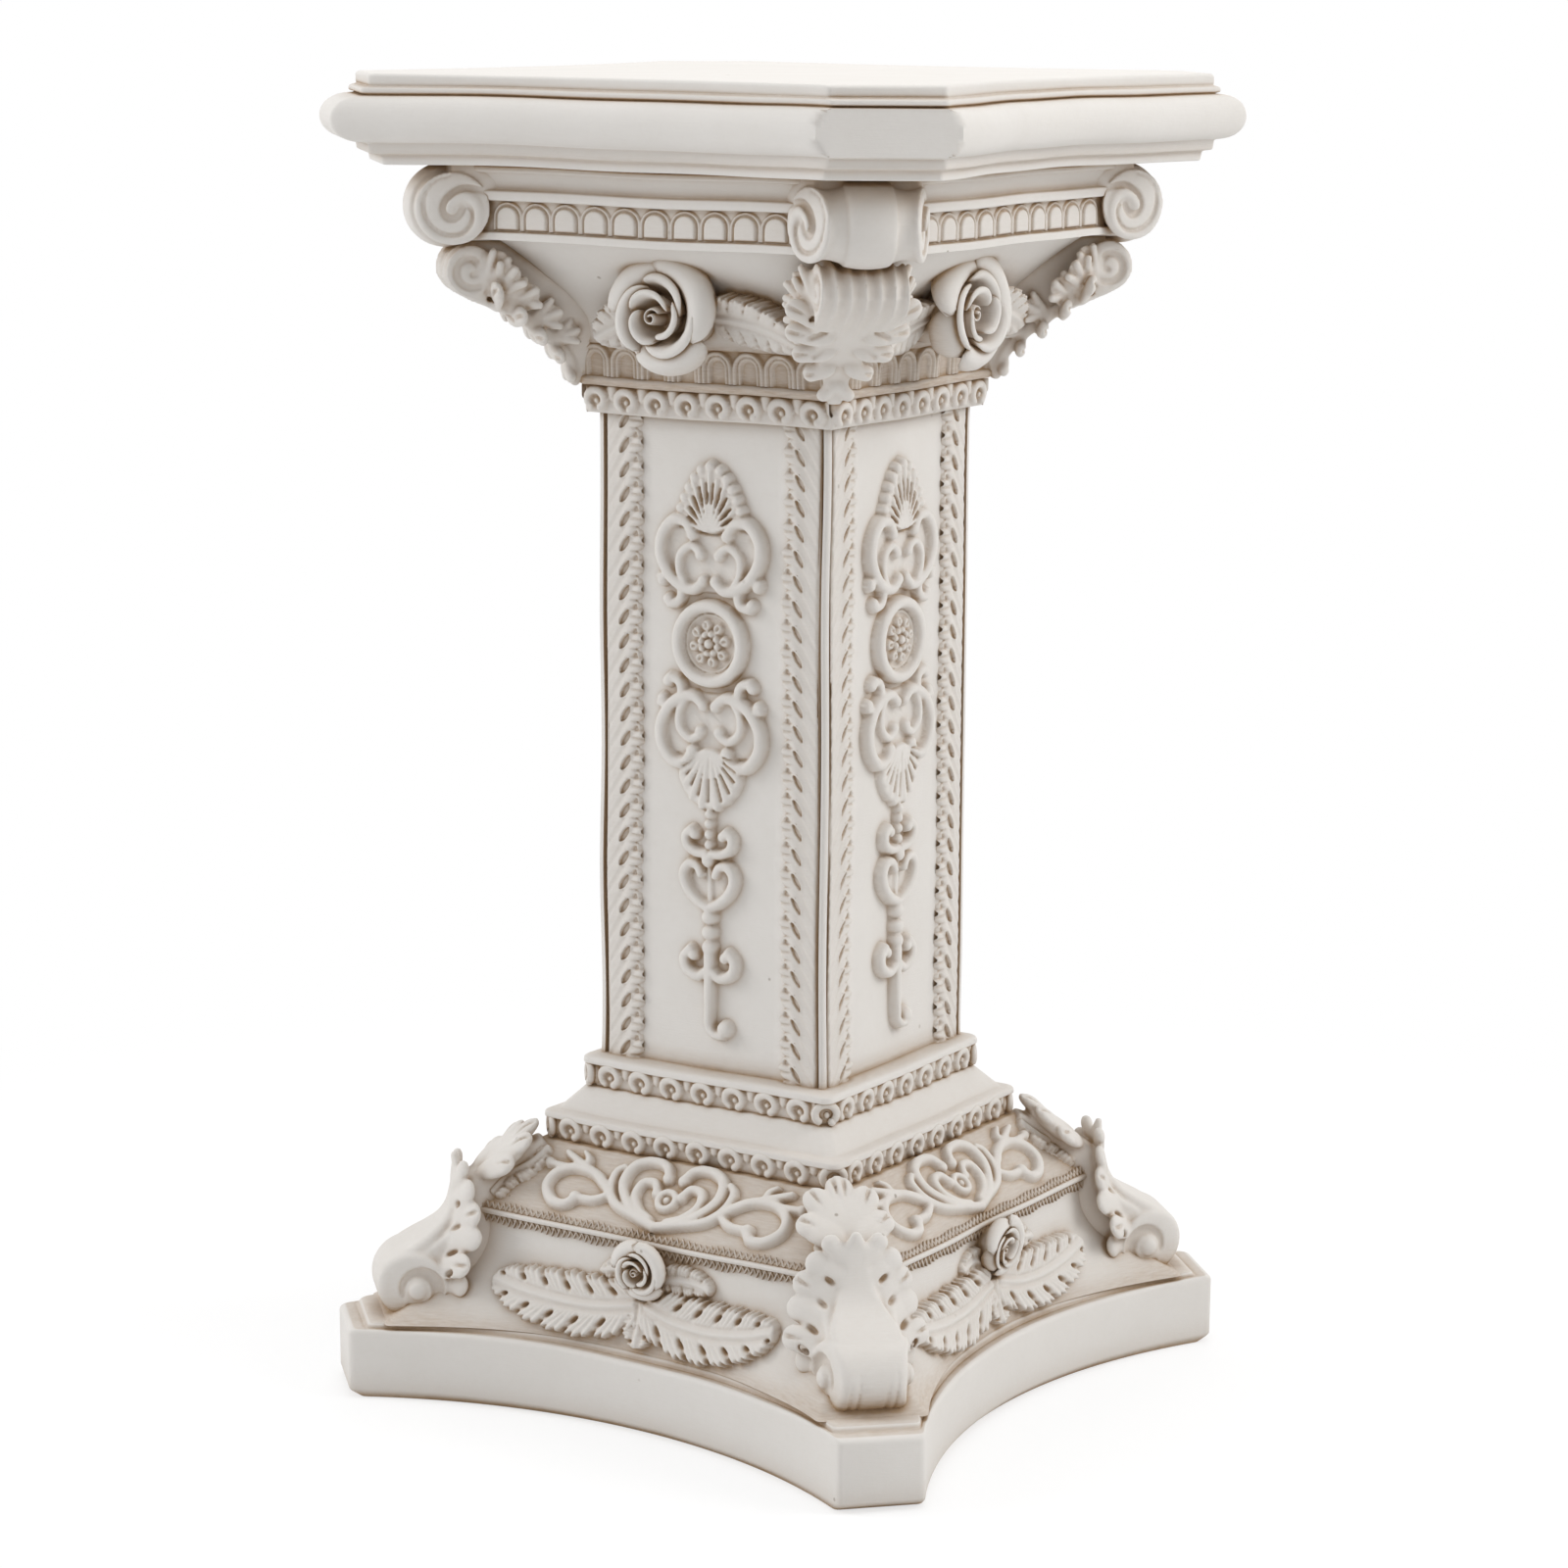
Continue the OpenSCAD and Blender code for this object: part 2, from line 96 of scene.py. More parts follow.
class Shape:
    """Vertices in millimetres with faces of any size and a wash value, gathered part by part."""

    def __init__(self):
        self.points = []
        self.loops = []
        self.sizes = []
        self.washes = []
        self.count = 0

    def add(self, points, faces, wash=0.0):
        """Adds vertices and one or more arrays of faces that index them."""
        points = np.asarray(points, float).reshape(-1, 3)
        for block in faces if isinstance(faces, list) else [faces]:
            block = np.asarray(block, np.int64)
            self.loops.append((block + self.count).ravel())
            self.sizes.append(np.full(len(block), block.shape[1], np.int64))
        self.points.append(points)
        self.washes.append(np.broadcast_to(np.asarray(wash, float), len(points)))
        self.count += len(points)
        return self

    def join(self, other):
        """Takes in all of another shape."""
        points, loops, sizes, washes = other.arrays()
        self.points.append(points)
        self.loops.append(loops + self.count)
        self.sizes.append(sizes)
        self.washes.append(washes)
        self.count += len(points)
        return self

    def arrays(self):
        """Vertices, corners, face sizes and washes, each as one array."""
        return tuple(np.concatenate(part) for part in (self.points, self.loops, self.sizes, self.washes))

    def moved(self, turn):
        """A copy whose points have gone through the function turn."""
        points, loops, sizes, washes = self.arrays()
        return shape_of(turn(points), loops, sizes, washes)

    def quartered(self):
        """Four copies by quarter turns about the axis."""
        whole = Shape()
        for quarter in range(4):
            whole.join(self.moved(lambda p, q=quarter: spun(p, 90 * q)))
        return whole


def shape_of(points, loops, sizes, washes):
    """A shape from arrays that already belong together."""
    shape = Shape()
    shape.points, shape.loops, shape.sizes, shape.washes = [points], [loops], [sizes], [washes]
    shape.count = len(points)
    return shape


def spun(points, degrees):
    """Points turned about the vertical axis."""
    c, s = math.cos(math.radians(degrees)), math.sin(math.radians(degrees))
    x, y, z = points.T
    return np.stack([c * x - s * y, s * x + c * y, z], 1)


def from_corner(points):
    """Points given as (across, out along the diagonal, up) at the front corner, in the row frame."""
    w, r, z = np.asarray(points, float).T
    return np.stack([(w + r) * HALF_ROOT, (w - r) * HALF_ROOT, z], 1)


def on_side(x, out, up):
    """Points along, out and up on the -Y side; a single number goes to every point."""
    x, out, up = np.broadcast_arrays(*np.atleast_1d(x, out, up))
    return np.stack([x, -out, up], 1)


def net(nu, nv, wrap=False):
    """Quads of a grid whose vertices are numbered u first, facing u cross v; wrap closes it along v."""
    u, v = np.meshgrid(np.arange(nu - 1), np.arange(nv if wrap else nv - 1), indexing="ij")
    u, v = u.ravel(), v.ravel()
    here, beyond, after = u * nv, (u + 1) * nv, (v + 1) % nv
    return np.stack([here + v, beyond + v, beyond + after, here + after], 1)


def spline(points, per=6):
    """Smooth curve through the points."""
    p = np.asarray(points, float)
    ends = np.concatenate([2 * p[:1] - p[1:2], p, 2 * p[-1:] - p[-2:-1]])
    a, b, c, d = (ends[k:len(ends) - 3 + k, None] for k in range(4))
    t = (np.arange(per) / per)[None, :, None]
    curve = 0.5 * (2 * b + (c - a) * t + (2 * a - 5 * b + 4 * c - d) * t**2 + (3 * b - a - 3 * c + d) * t**3)
    return np.concatenate([curve.reshape(-1, p.shape[1]), p[-1:]])


def evenly(values, count):
    """Values spaced evenly over that many points, from the first to the last."""
    return np.interp(np.linspace(0, 1, count), np.linspace(0, 1, np.size(values)), np.atleast_1d(values))


def tube(shape, path, radius, sides, wash):
    """Closed round tube along a path of 3-D points."""
    along = np.gradient(path, axis=0)
    along /= np.linalg.norm(along, axis=1)[:, None]
    up = np.tile([0.0, 1.0, 0.0], (len(path), 1))
    side = np.cross(along, up)
    side /= np.maximum(np.linalg.norm(side, axis=1), 1e-6)[:, None]
    up = np.cross(side, along)
    turn = 2 * np.pi * np.arange(sides) / sides
    ring = side[:, None] * np.cos(turn)[None, :, None] + up[:, None] * np.sin(turn)[None, :, None]
    points = path[:, None] + ring * radius
    last = len(path) * sides
    points = np.concatenate([points.reshape(-1, 3), path[:1] - along[:1] * radius * 0.6,
                             path[-1:] + along[-1:] * radius * 0.6])
    k = np.arange(sides)
    start = np.stack([np.full(sides, last), k, (k + 1) % sides], 1)
    end = np.stack([np.full(sides, last + 1), last - sides + (k + 1) % sides, last - sides + k], 1)
    return shape.add(points, [net(len(path), sides, wrap=True), start, end], wash)


def ball(shape, centre, radii, wash, rows=6, columns=9):
    """Closed ball or egg."""
    tilt = np.pi * np.arange(1, rows) / rows
    turn = 2 * np.pi * np.arange(columns) / columns
    ring = np.stack([np.sin(tilt)[:, None] * np.cos(turn), np.sin(tilt)[:, None] * np.sin(turn),
                     np.broadcast_to(np.cos(tilt)[:, None], (rows - 1, columns))], 2).reshape(-1, 3)
    points = np.concatenate([ring, [[0, 0, 1.0]], [[0, 0, -1.0]]]) * radii + centre
    top, bottom = len(ring), len(ring) + 1
    k = np.arange(columns)
    cap = np.stack([np.full(columns, top), k, (k + 1) % columns], 1)
    base = np.stack([np.full(columns, bottom), top - columns + (k + 1) % columns, top - columns + k], 1)
    quads = net(rows - 1, columns, wrap=True)[:, ::-1]
    return shape.add(points, [quads, cap, base], wash)


# ---- lofts of the square, hollow-sided plan ----

def bow(half, depth, x):
    """Rise of a shallow arc of that half length and depth at x from its middle."""
    if depth < 0.01:
        return np.zeros_like(x)
    radius = (half * half + depth * depth) / (2 * depth)
    return depth - radius + np.sqrt(radius * radius - x * x)


def plan(half, cut, hollow, steps, round_r):
    """Outline of a square of that half width with cut and rounded corners and bowed sides."""
    a = half - cut
    x = a * (2 * np.arange(steps + 1) / steps - 1)
    side = np.stack([x, -half + bow(a, hollow, x)], 1)
    sides = []
    for quarter in range(4):
        turn = math.radians(90 * quarter)
        c, s = math.cos(turn), math.sin(turn)
        sides.append(side @ np.array([[c, s], [-s, c]]))
    ring = []
    for quarter in range(4):
        here, following, before = sides[quarter], sides[(quarter + 1) % 4], sides[quarter - 1]
        ring.append(rounded(before[-1], here[0], here[1], round_r))
        ring.append(here[1:-1])
        ring.append(rounded(here[-2], here[-1], following[0], round_r))
    return np.concatenate(ring)


def rounded(before, corner, after, radius, steps=3):
    """A few points of the curve that rounds a corner."""
    back, on = before - corner, after - corner
    back_len, on_len = np.linalg.norm(back), np.linalg.norm(on)
    start = corner + back / back_len * min(radius, back_len * 0.4)
    stop = corner + on / on_len * min(radius, on_len * 0.4)
    t = (np.arange(steps + 1) / steps)[:, None]
    return (1 - t) ** 2 * start + 2 * t * (1 - t) * corner + t * t * stop


def eased(profile, radius):
    """Profile points with each inner corner rounded by about the radius."""
    p = np.asarray(profile, float)
    parts = [p[:1]]
    for k in range(1, len(p) - 1):
        parts.append(rounded(p[k - 1], p[k], p[k + 1], radius))
    parts.append(p[-1:])
    return np.concatenate(parts)


def around(z, half, *steps):
    """Profile points given by their steps up and out from one height and half width."""
    return [(z + up, half + out) for up, out in steps]


def loft(shape, levels, steps, round_r, wash):
    """Closed skin through plans given as (z, half, cut, hollow), lowest first, each with its wash."""
    rings = []
    for z, half, cut, hollow in levels:
        ring = plan(half, cut, hollow, steps, round_r)
        rings.append(np.column_stack([ring, np.full(len(ring), z)]))
    count = len(rings[0])
    quads = net(len(rings), count, wrap=True)[:, ::-1]
    bottom = np.arange(count)[::-1][None]
    top = (np.arange(count) + (len(rings) - 1) * count)[None]
    return shape.add(np.concatenate(rings), [quads, bottom, top], np.repeat(wash, count))


def bump(z, centre, width):
    """A smooth hump of height one about the centre."""
    return np.exp(-((z - centre) / width) ** 2)


# ---- reliefs as height fields ----

GROUND = -0.5
WALL = 0.9


def soft_max(a, b, blend):
    """The larger of two values, rounded where they meet."""
    return np.maximum(a, b) + np.maximum(blend - np.abs(a - b), 0) ** 2 / (4 * blend)


def soft_min(a, b, blend):
    """The smaller of two values, rounded where they meet."""
    return np.minimum(a, b) - np.maximum(blend - np.abs(a - b), 0) ** 2 / (4 * blend)


def beside(x, v, start, end):
    """Share of the way along a straight line and the distance from it, over a grid."""
    (ax, av), (bx, bv) = start, end
    ex, ev = bx - ax, bv - av
    s = np.clip(((x - ax) * ex + (v - av) * ev) / max(ex * ex + ev * ev, 1e-9), 0, 1)
    return s, np.hypot(x - ax - s * ex, v - av - s * ev)


class Relief:
    """Heights over a face, in (along, up) millimetres. Bare ground lies just inside the face."""

    def __init__(self, x0, x1, v0, v1, step):
        self.x = np.linspace(x0, x1, round((x1 - x0) / step) + 1)
        self.v = np.linspace(v0, v1, round((v1 - v0) / step) + 1)
        self.h = np.full((len(self.x), len(self.v)), GROUND)
        self.blend = 0.6

    def window(self, low, high):
        """The part of the grid between two corners, with its coordinates."""
        a, b = np.searchsorted(self.x, [low[0], high[0]])
        c, d = np.searchsorted(self.v, [low[1], high[1]])
        area = (slice(a, b), slice(c, d))
        return area, self.x[area[0]][:, None], self.v[area[1]][None, :]

    def merge(self, area, form):
        """Joins a new form to what is there; bare ground stays as it is."""
        here = self.h[area]
        self.h[area] = np.where(form > GROUND + 0.01, soft_max(here, form, self.blend), here)

    def path(self, points, radius, per, room):
        """A smooth curve with its radii, and the part of the grid that it reaches."""
        path = spline(points, per) if len(points) > 2 else np.asarray(points, float)
        r = evenly(radius, len(path))
        reach = r.max() + room
        return path, r, *self.window(path.min(0) - reach, path.max(0) + reach)

    def stroke(self, points, radius, height, per=6):
        """A rounded rib along a smooth curve; radius and height may run from start to end."""
        path, r, area, x, v = self.path(points, radius, per, WALL + 0.3)
        top = evenly(height, len(path))
        best = np.full(np.broadcast(x, v).shape, GROUND)
        for k in range(len(path) - 1):
            s, away = beside(x, v, path[k], path[k + 1])
            half = r[k] + s * (r[k + 1] - r[k])
            best = np.maximum(best, dome(away, half, top[k] + s * (top[k + 1] - top[k])))
        self.merge(area, best)

    def ball(self, centre, radius, height):
        """A round boss."""
        reach = np.array([radius + WALL + 0.3] * 2)
        area, x, v = self.window(np.array(centre) - reach, np.array(centre) + reach)
        away = np.hypot(x - centre[0], v - centre[1])
        self.merge(area, dome(away, radius, height))

    def groove(self, points, radius, depth, per=4):
        """A rounded cut along a smooth curve, only into what already stands proud."""
        path, r, area, x, v = self.path(points, radius, per, 0.3)
        cut = np.zeros(np.broadcast(x, v).shape)
        for k in range(len(path) - 1):
            s, away = beside(x, v, path[k], path[k + 1])
            away = away / (r[k] + s * (r[k + 1] - r[k]))
            cut = np.maximum(cut, np.clip(1 - away**2, 0, 1))
        ground = self.h[area]
        self.h[area] = np.where(ground > GROUND + 0.1, np.maximum(ground - depth * cut, 0.05), ground)

    def blot(self, outline, height, edge, wall=WALL):
        """A flat-topped patch with rounded edges inside a closed outline."""
        outline = np.asarray(outline, float)
        area, x, v = self.window(outline.min(0) - 2, outline.max(0) + 2)
        inside = -outline_distance(x, v, outline)
        self.merge(area, plateau(inside, height, edge, wall))

    def leaf(self, path, width, lobes, height, eye, sharp=1.0):
        """A lobed leaf along a curved midrib given from its root to its tip, eye and sharp as in lobed."""
        path = spline(path, 8)
        along = np.concatenate([[0], np.cumsum(np.linalg.norm(np.diff(path, axis=0), axis=1))])
        along /= along[-1]
        area, x, v = self.window(path.min(0) - width, path.max(0) + width)
        shape = np.broadcast(x, v).shape
        near = np.full(shape, 1e9)
        t = np.zeros(shape)
        across = np.zeros(shape)
        for k in range(len(path) - 1):
            (ax, av), (bx, bv) = path[k], path[k + 1]
            ex, ev = bx - ax, bv - av
            length = math.hypot(ex, ev)
            s_free = ((x - ax) * ex + (v - av) * ev) / length**2
            s = np.clip(s_free, 0, 1)
            away = np.hypot(x - ax - s * ex, v - av - s * ev)
            closer = away < near
            near = np.where(closer, away, near)
            reach_on = (s_free if k == len(path) - 2 else s) if k else np.minimum(s, s_free)
            t = np.where(closer, along[k] + reach_on * (along[k + 1] - along[k]), t)
            signed = ((v - av) * ex - (x - ax) * ev) / length
            across = np.where(closer, signed, across)
        self.merge(area, lobed(t, across, width / 2, lobes, height, eye, sharp))

    def shape(self, place, wash):
        """The relief as a mesh, its points put in place by place(x, v, h); bare cells are dropped."""
        nx, nv = self.h.shape
        proud = self.h > GROUND + 0.05
        cell = proud[:-1, :-1] | proud[1:, :-1] | proud[1:, 1:] | proud[:-1, 1:]
        faces = net(nx, nv)[cell.ravel()]
        used, inverse = np.unique(faces, return_inverse=True)
        x = np.repeat(self.x, nv)[used]
        v = np.tile(self.v, nx)[used]
        h = self.h.ravel()[used]
        return Shape().add(place(x, v, h), inverse.reshape(-1, 4), wash)


def dome(away, radius, height):
    """Rounded section of a rib: a dome on short walls that fall to the ground."""
    crown = np.minimum(radius, height) * 0.85
    over = height - crown + crown * np.sqrt(np.clip(1 - (away / radius) ** 2, 0, 1))
    fall = np.clip((away - radius) / WALL, 0, 1)
    return np.where(away <= radius, over, (height - crown) * (1 - fall) + GROUND * fall)


def plateau(inside, height, edge, wall):
    """Flat top with a rounded edge, from the distance inside an outline."""
    rise = np.clip(inside / edge, 0, 1)
    over = height * (0.55 + 0.45 * np.sqrt(1 - (1 - rise) ** 2))
    fall = np.clip(-inside / wall, 0, 1)
    return np.where(inside >= 0, over, height * 0.55 * (1 - fall) + GROUND * fall)


def outline_distance(px, py, outline):
    """Signed distance from points to a closed outline, negative inside."""
    best = np.full(np.broadcast(px, py).shape, 1e9)
    inside = np.zeros(best.shape, bool)
    for (ax, ay), (bx, by) in zip(outline, np.roll(outline, -1, 0)):
        ex, ey = bx - ax, by - ay
        wx, wy = px - ax, py - ay
        t = np.clip((wx * ex + wy * ey) / max(ex * ex + ey * ey, 1e-9), 0, 1)
        best = np.minimum(best, (wx - ex * t) ** 2 + (wy - ey * t) ** 2)
        if abs(ey) > 1e-9:
            crosses = (ay <= py) != (by <= py)
            inside ^= crosses & (wx < ex * wy / ey)
    return np.where(inside, -1, 1) * np.sqrt(best)


def lobed(t, across, half, lobes, height, eye, sharp):
    """Height of a leaf with toothed lobes along its edge and a drilled eye between each two.

    t runs from root to tip, eye is the depth of the eyes and sharp the strength of the teeth.
    """
    reach = half * np.clip(np.sin(np.pi * np.clip(0.05 + 0.95 * t, 0, 1) ** 0.75), 0, 1) ** 0.42
    rel = np.abs(across) / half
    out = np.abs(across) / np.maximum(reach, 0.5)
    phase = lobes * (t - 0.15 * rel * half * 2 / 29) + np.where(across > 0, 0.0, 0.5)
    f = phase - np.floor(phase)
    apart = np.minimum(f, 1 - f)
    ray = (f - 0.5) / (0.10 + 0.24 * np.clip(out, 0, 1))
    tooth = 1 - 2 * np.abs(ray - np.round(ray))
    edge = reach * (0.70 + 0.16 * np.clip(np.sin(np.pi * f), 0, 1) ** 0.5 + 0.14 * sharp * tooth)
    inside = edge - np.abs(across)
    ends = np.minimum(t, 1 - t)
    inside = np.where((t < 0) | (t > 1), -2.0, np.minimum(inside, ends * 60 + 0.1))
    base = plateau(inside, height, 1.6, WALL)
    fan = np.clip((rel - 0.12) * 4, 0, 1)
    swell = (0.9 * np.clip(np.sin(np.pi * f), 0, 1) ** 0.7 - 0.7 + 0.7 * tooth * sharp) * fan
    rib = 0.8 * np.exp(-(across / 1.1) ** 2) - 0.6 * np.exp(-((np.abs(across) - 2.4) / 0.9) ** 2)
    slit = 1.3 * min(1.0, eye) * np.exp(-(apart / 0.05) ** 2) * np.clip((out - 0.42) * 8, 0, 1)
    hole = eye * np.exp(-((out - 0.50) / 0.11) ** 4) * np.exp(-(apart / 0.105) ** 2)
    rim = 0.5 * min(1.0, eye) * np.exp(-((out - 0.50) / 0.18) ** 4) * np.exp(-((apart - 0.17) / 0.06) ** 2)
    carved = base + swell + rib + rim - slit - hole
    return np.where(inside > 0, np.maximum(carved, 0.1), base)


def read(items, name, kind, each=1):
    """One property of every item of a mesh, as one array."""
    values = np.zeros(len(items) * each, kind)
    items.foreach_get(name, values)
    return values


def thinned(shape, ratio):
    """The shape with that share of its triangles, most of them where it curves."""
    thing = bpy.data.objects.new("thinning", mesh_of("thinning", shape, 1.0))
    bpy.context.collection.objects.link(thing)
    decimate = thing.modifiers.new("decimate", "DECIMATE")
    decimate.ratio = ratio
    done = thing.evaluated_get(bpy.context.evaluated_depsgraph_get()).to_mesh()
    points = read(done.vertices, "co", float, 3).reshape(-1, 3)
    loops = read(done.loops, "vertex_index", np.int32)
    sizes = read(done.polygons, "loop_total", np.int32)
    washes = read(done.attributes["wash"].data, "value", float)
    bpy.data.objects.remove(thing)
    return shape_of(points, loops, sizes, washes)


# ---- carving in clay: solids on a voxel grid ----

class Clay:
    """A solid made on a voxel grid by joining and cutting simple forms, in millimetres."""

    FAR = 8.0

    def __init__(self, low, high, step):
        self.low = np.asarray(low, float)
        self.step = step
        counts = np.ceil((np.asarray(high) - self.low) / step).astype(int) + 1
        self.axes = [self.low[k] + step * np.arange(counts[k]) for k in range(3)]
        self.field = np.full(counts, self.FAR, np.float32)

    def window(self, low=None, high=None):
        """The part of the grid between two corners, or all of it, with its coordinates."""
        cuts = []
        for k in range(3):
            a, b = (0, len(self.axes[k])) if low is None else np.searchsorted(self.axes[k], [low[k], high[k]])
            cuts.append(slice(a, b))
        grid = [self.axes[k][cuts[k]].reshape([-1 if j == k else 1 for j in range(3)]) for k in range(3)]
        return tuple(cuts), grid

    def add(self, area, away, blend):
        """Joins a form given by the distance from its skin."""
        self.field[area] = soft_min(self.field[area], away, blend)

    def cut(self, area, away, blend):
        """Takes a form away."""
        self.field[area] = -soft_min(-self.field[area], away, blend)

    def rod(self, path, radius, blend=0.8, cutting=False):
        """A round bar along points (across, out, up); its radius may run from start to end."""
        path = np.asarray(path, float)
        r = evenly(radius, len(path))
        for a, b, ra, rb in zip(path[:-1], path[1:], r[:-1], r[1:]):
            reach = max(ra, rb) + blend + 1.5
            area, (x, y, z) = self.window(np.minimum(a, b) - reach, np.maximum(a, b) + reach)
            if min(self.field[area].shape) == 0:
                continue
            e = b - a
            x, y, z = x - a[0], y - a[1], z - a[2]
            t = np.clip((x * e[0] + y * e[1] + z * e[2]) / max(e @ e, 1e-9), 0, 1)
            away = np.sqrt((x - t * e[0]) ** 2 + (y - t * e[1]) ** 2 + (z - t * e[2]) ** 2)
            (self.cut if cutting else self.add)(area, away - (ra + t * (rb - ra)), blend)

    def egg(self, centre, radii, blend=0.8, cutting=False, axes=None):
        """An egg with its own axes, given as three unit rows."""
        centre = np.asarray(centre, float)
        radii = np.broadcast_to(np.asarray(radii, float), 3)
        axes = np.eye(3) if axes is None else np.asarray(axes, float)
        reach = radii.max() + blend + 1.5
        area, (x, y, z) = self.window(centre - reach, centre + reach)
        if min(self.field[area].shape) == 0:
            return
        x, y, z = x - centre[0], y - centre[1], z - centre[2]
        local = [axes[k][0] * x + axes[k][1] * y + axes[k][2] * z for k in range(3)]
        k0 = np.sqrt(sum((local[k] / radii[k]) ** 2 for k in range(3)))
        k1 = np.sqrt(sum((local[k] / radii[k] ** 2) ** 2 for k in range(3))) + 1e-9
        (self.cut if cutting else self.add)(area, k0 * (k0 - 1) / k1, blend)

    def ribbon(self, path, half, thick, flutes, depth, blend):
        """A fluted strip that follows (out, up) points; half width and thickness run from start to end."""
        path = np.asarray(path, float)
        steps = np.linalg.norm(np.diff(path, axis=0), axis=1)
        along = np.concatenate([[0], np.cumsum(steps)]) / steps.sum()
        r, z = self.axes[1][:, None], self.axes[2][None, :]
        near = np.full((len(self.axes[1]), len(self.axes[2])), 1e9)
        t = np.zeros(near.shape)
        for k, (a, b) in enumerate(zip(path[:-1], path[1:])):
            e = b - a
            s = np.clip(((r - a[0]) * e[0] + (z - a[1]) * e[1]) / max(e @ e, 1e-9), 0, 1)
            away = np.hypot(r - a[0] - s * e[0], z - a[1] - s * e[1])
            closer = away < near
            near = np.where(closer, away, near)
            t = np.where(closer, along[k] + s * (along[k + 1] - along[k]), t)
        half = np.interp(t, np.linspace(0, 1, len(half)), half)[None]
        thick = np.interp(t, np.linspace(0, 1, len(thick)), thick)[None]
        area, (w, _, _) = self.window()
        fade = np.clip(1 - 1.7 * t, 0, 1)[None]
        ridge = depth * fade * (0.4 - np.abs(np.sin(np.pi * flutes * w / (2 * half)))) if flutes else 0.0
        self.add(area, soft_max(near[None] - thick / 2 - ridge, np.abs(w) - half, blend), 0.6)

    def shape(self, place, wash=0.0):
        """The surface as a mesh; open ends at the edge of the grid are closed."""
        field = self.field.copy()
        for axis in range(3):
            for end in (0, -1):
                index = [slice(None)] * 3
                index[axis] = end
                field[tuple(index)] = np.maximum(field[tuple(index)], 0.3 * self.step)
        grid = openvdb.FloatGrid(self.FAR)
        grid.copyFromArray(np.clip(field, -self.FAR, self.FAR))
        points, _, quads = grid.convertToPolygons(isovalue=0.0, adaptivity=0.0)
        return Shape().add(place(self.low + points * self.step), quads[:, ::-1], wash)


# ---- turning shapes into pieces ----

def hand_made(points):
    """Slight waviness of a hand-finished cast, dying out at the floor and the table's face."""
    x, y, z = points.T
    calm = np.clip(z / 25, 0, 1) * np.clip((HEIGHT - z) / 12, 0, 1)
    sway = np.stack([
        np.sin(z / 21 + y / 33 + 1.3) + 0.6 * np.sin(y / 13 + x / 41 - z / 17),
        np.sin(z / 24 - x / 29 + 4.1) + 0.6 * np.sin(x / 14 - y / 37 + z / 19),
        np.sin(x / 26 + y / 31 + 2.2) + 0.6 * np.sin(x / 15 - y / 12),
    ], 1)
    out = points + 0.28 * sway * calm[:, None]
    return np.clip(out, [-WIDEST, -WIDEST, 0], [WIDEST, WIDEST, HEIGHT])


def mesh_of(name, shape, scale):
    """A mesh of the shape, with its wash as a value on each vertex."""
    points, loops, sizes, washes = shape.arrays()
    mesh = bpy.data.meshes.new(name)
    mesh.vertices.add(len(points))
    mesh.vertices.foreach_set("co", (points * scale).ravel())
    mesh.loops.add(len(loops))
    mesh.loops.foreach_set("vertex_index", loops.astype(np.int32))
    mesh.polygons.add(len(sizes))
    mesh.polygons.foreach_set("loop_start", np.concatenate([[0], np.cumsum(sizes)[:-1]]).astype(np.int32))
    mesh.polygons.foreach_set("loop_total", sizes.astype(np.int32))
    mesh.update(calc_edges=True)
    mesh.attributes.new("wash", "FLOAT", "POINT").data.foreach_set("value", washes)
    return mesh


def make_piece(name, shape, sharp=None):
    """Makes the finished piece, smooth apart from edges sharper than the angle given."""
    shape = shape.moved(hand_made)
    mesh = mesh_of(name, shape, MM)
    mesh.shade_smooth()
    if sharp:
        mesh.set_sharp_from_angle(angle=math.radians(sharp))
    piece = bpy.data.objects.new(name, mesh)
    bpy.context.collection.objects.link(piece)
    mesh.materials.append(stone)
    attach(piece, "root")
    print("PIECE", name, int((shape.sizes[0] - 2).sum()), "triangles")


# ---- the plain mass ----

def plinth():
    """The slab underfoot, with a groove and a lip along its top."""
    profile = eased(around(0, FOOT_HALF, (0, -4), (0.01, -4), (3.5, 0), (32.5, 0))
                    + around(Z_PLINTH, FOOT_HALF, (0, -1.2), (0.2, -4.8), (-0.1, -5.8), (0.6, -6.4))
                    + around(Z_LIP, FOOT_HALF, (-1.0, -7.0), (0, -8.6), (0.1, -15)), 1.2)
    levels = [(z, half, FOOT_CUT, FOOT_HOLLOW) for z, half in profile]
    wash = 0.55 * bump(profile[:, 0], Z_PLINTH + 0.3, 1.2) * (profile[:, 1] < FOOT_HALF - 2)
    wash += 0.45 * (profile[:, 0] > Z_LIP - 0.8)
    return loft(Shape(), levels, 40, 2.5, wash)


def panel_half(t):
    """Half width, corner cut and hollow of the sweeping panel, t from its foot to the rope."""
    s = (1 - t) ** 2.2
    return ROPE_HALF + (SWEEP_HALF - ROPE_HALF) * s, 6 + 30 * s, FOOT_HOLLOW * s


def panel_out(x, z):
    """How far out the sweeping panel lies at x and z on one side."""
    t = np.clip((z - Z_LIP) / (Z_ROPE - Z_LIP), 0, 1)
    half, cut, hollow = panel_half(t)
    reach = half - cut
    hollow = np.maximum(hollow, 0.01)
    radius = (reach**2 + hollow**2) / (2 * hollow)
    return half - (hollow - radius + np.sqrt(np.maximum(radius**2 - x**2, 1)))


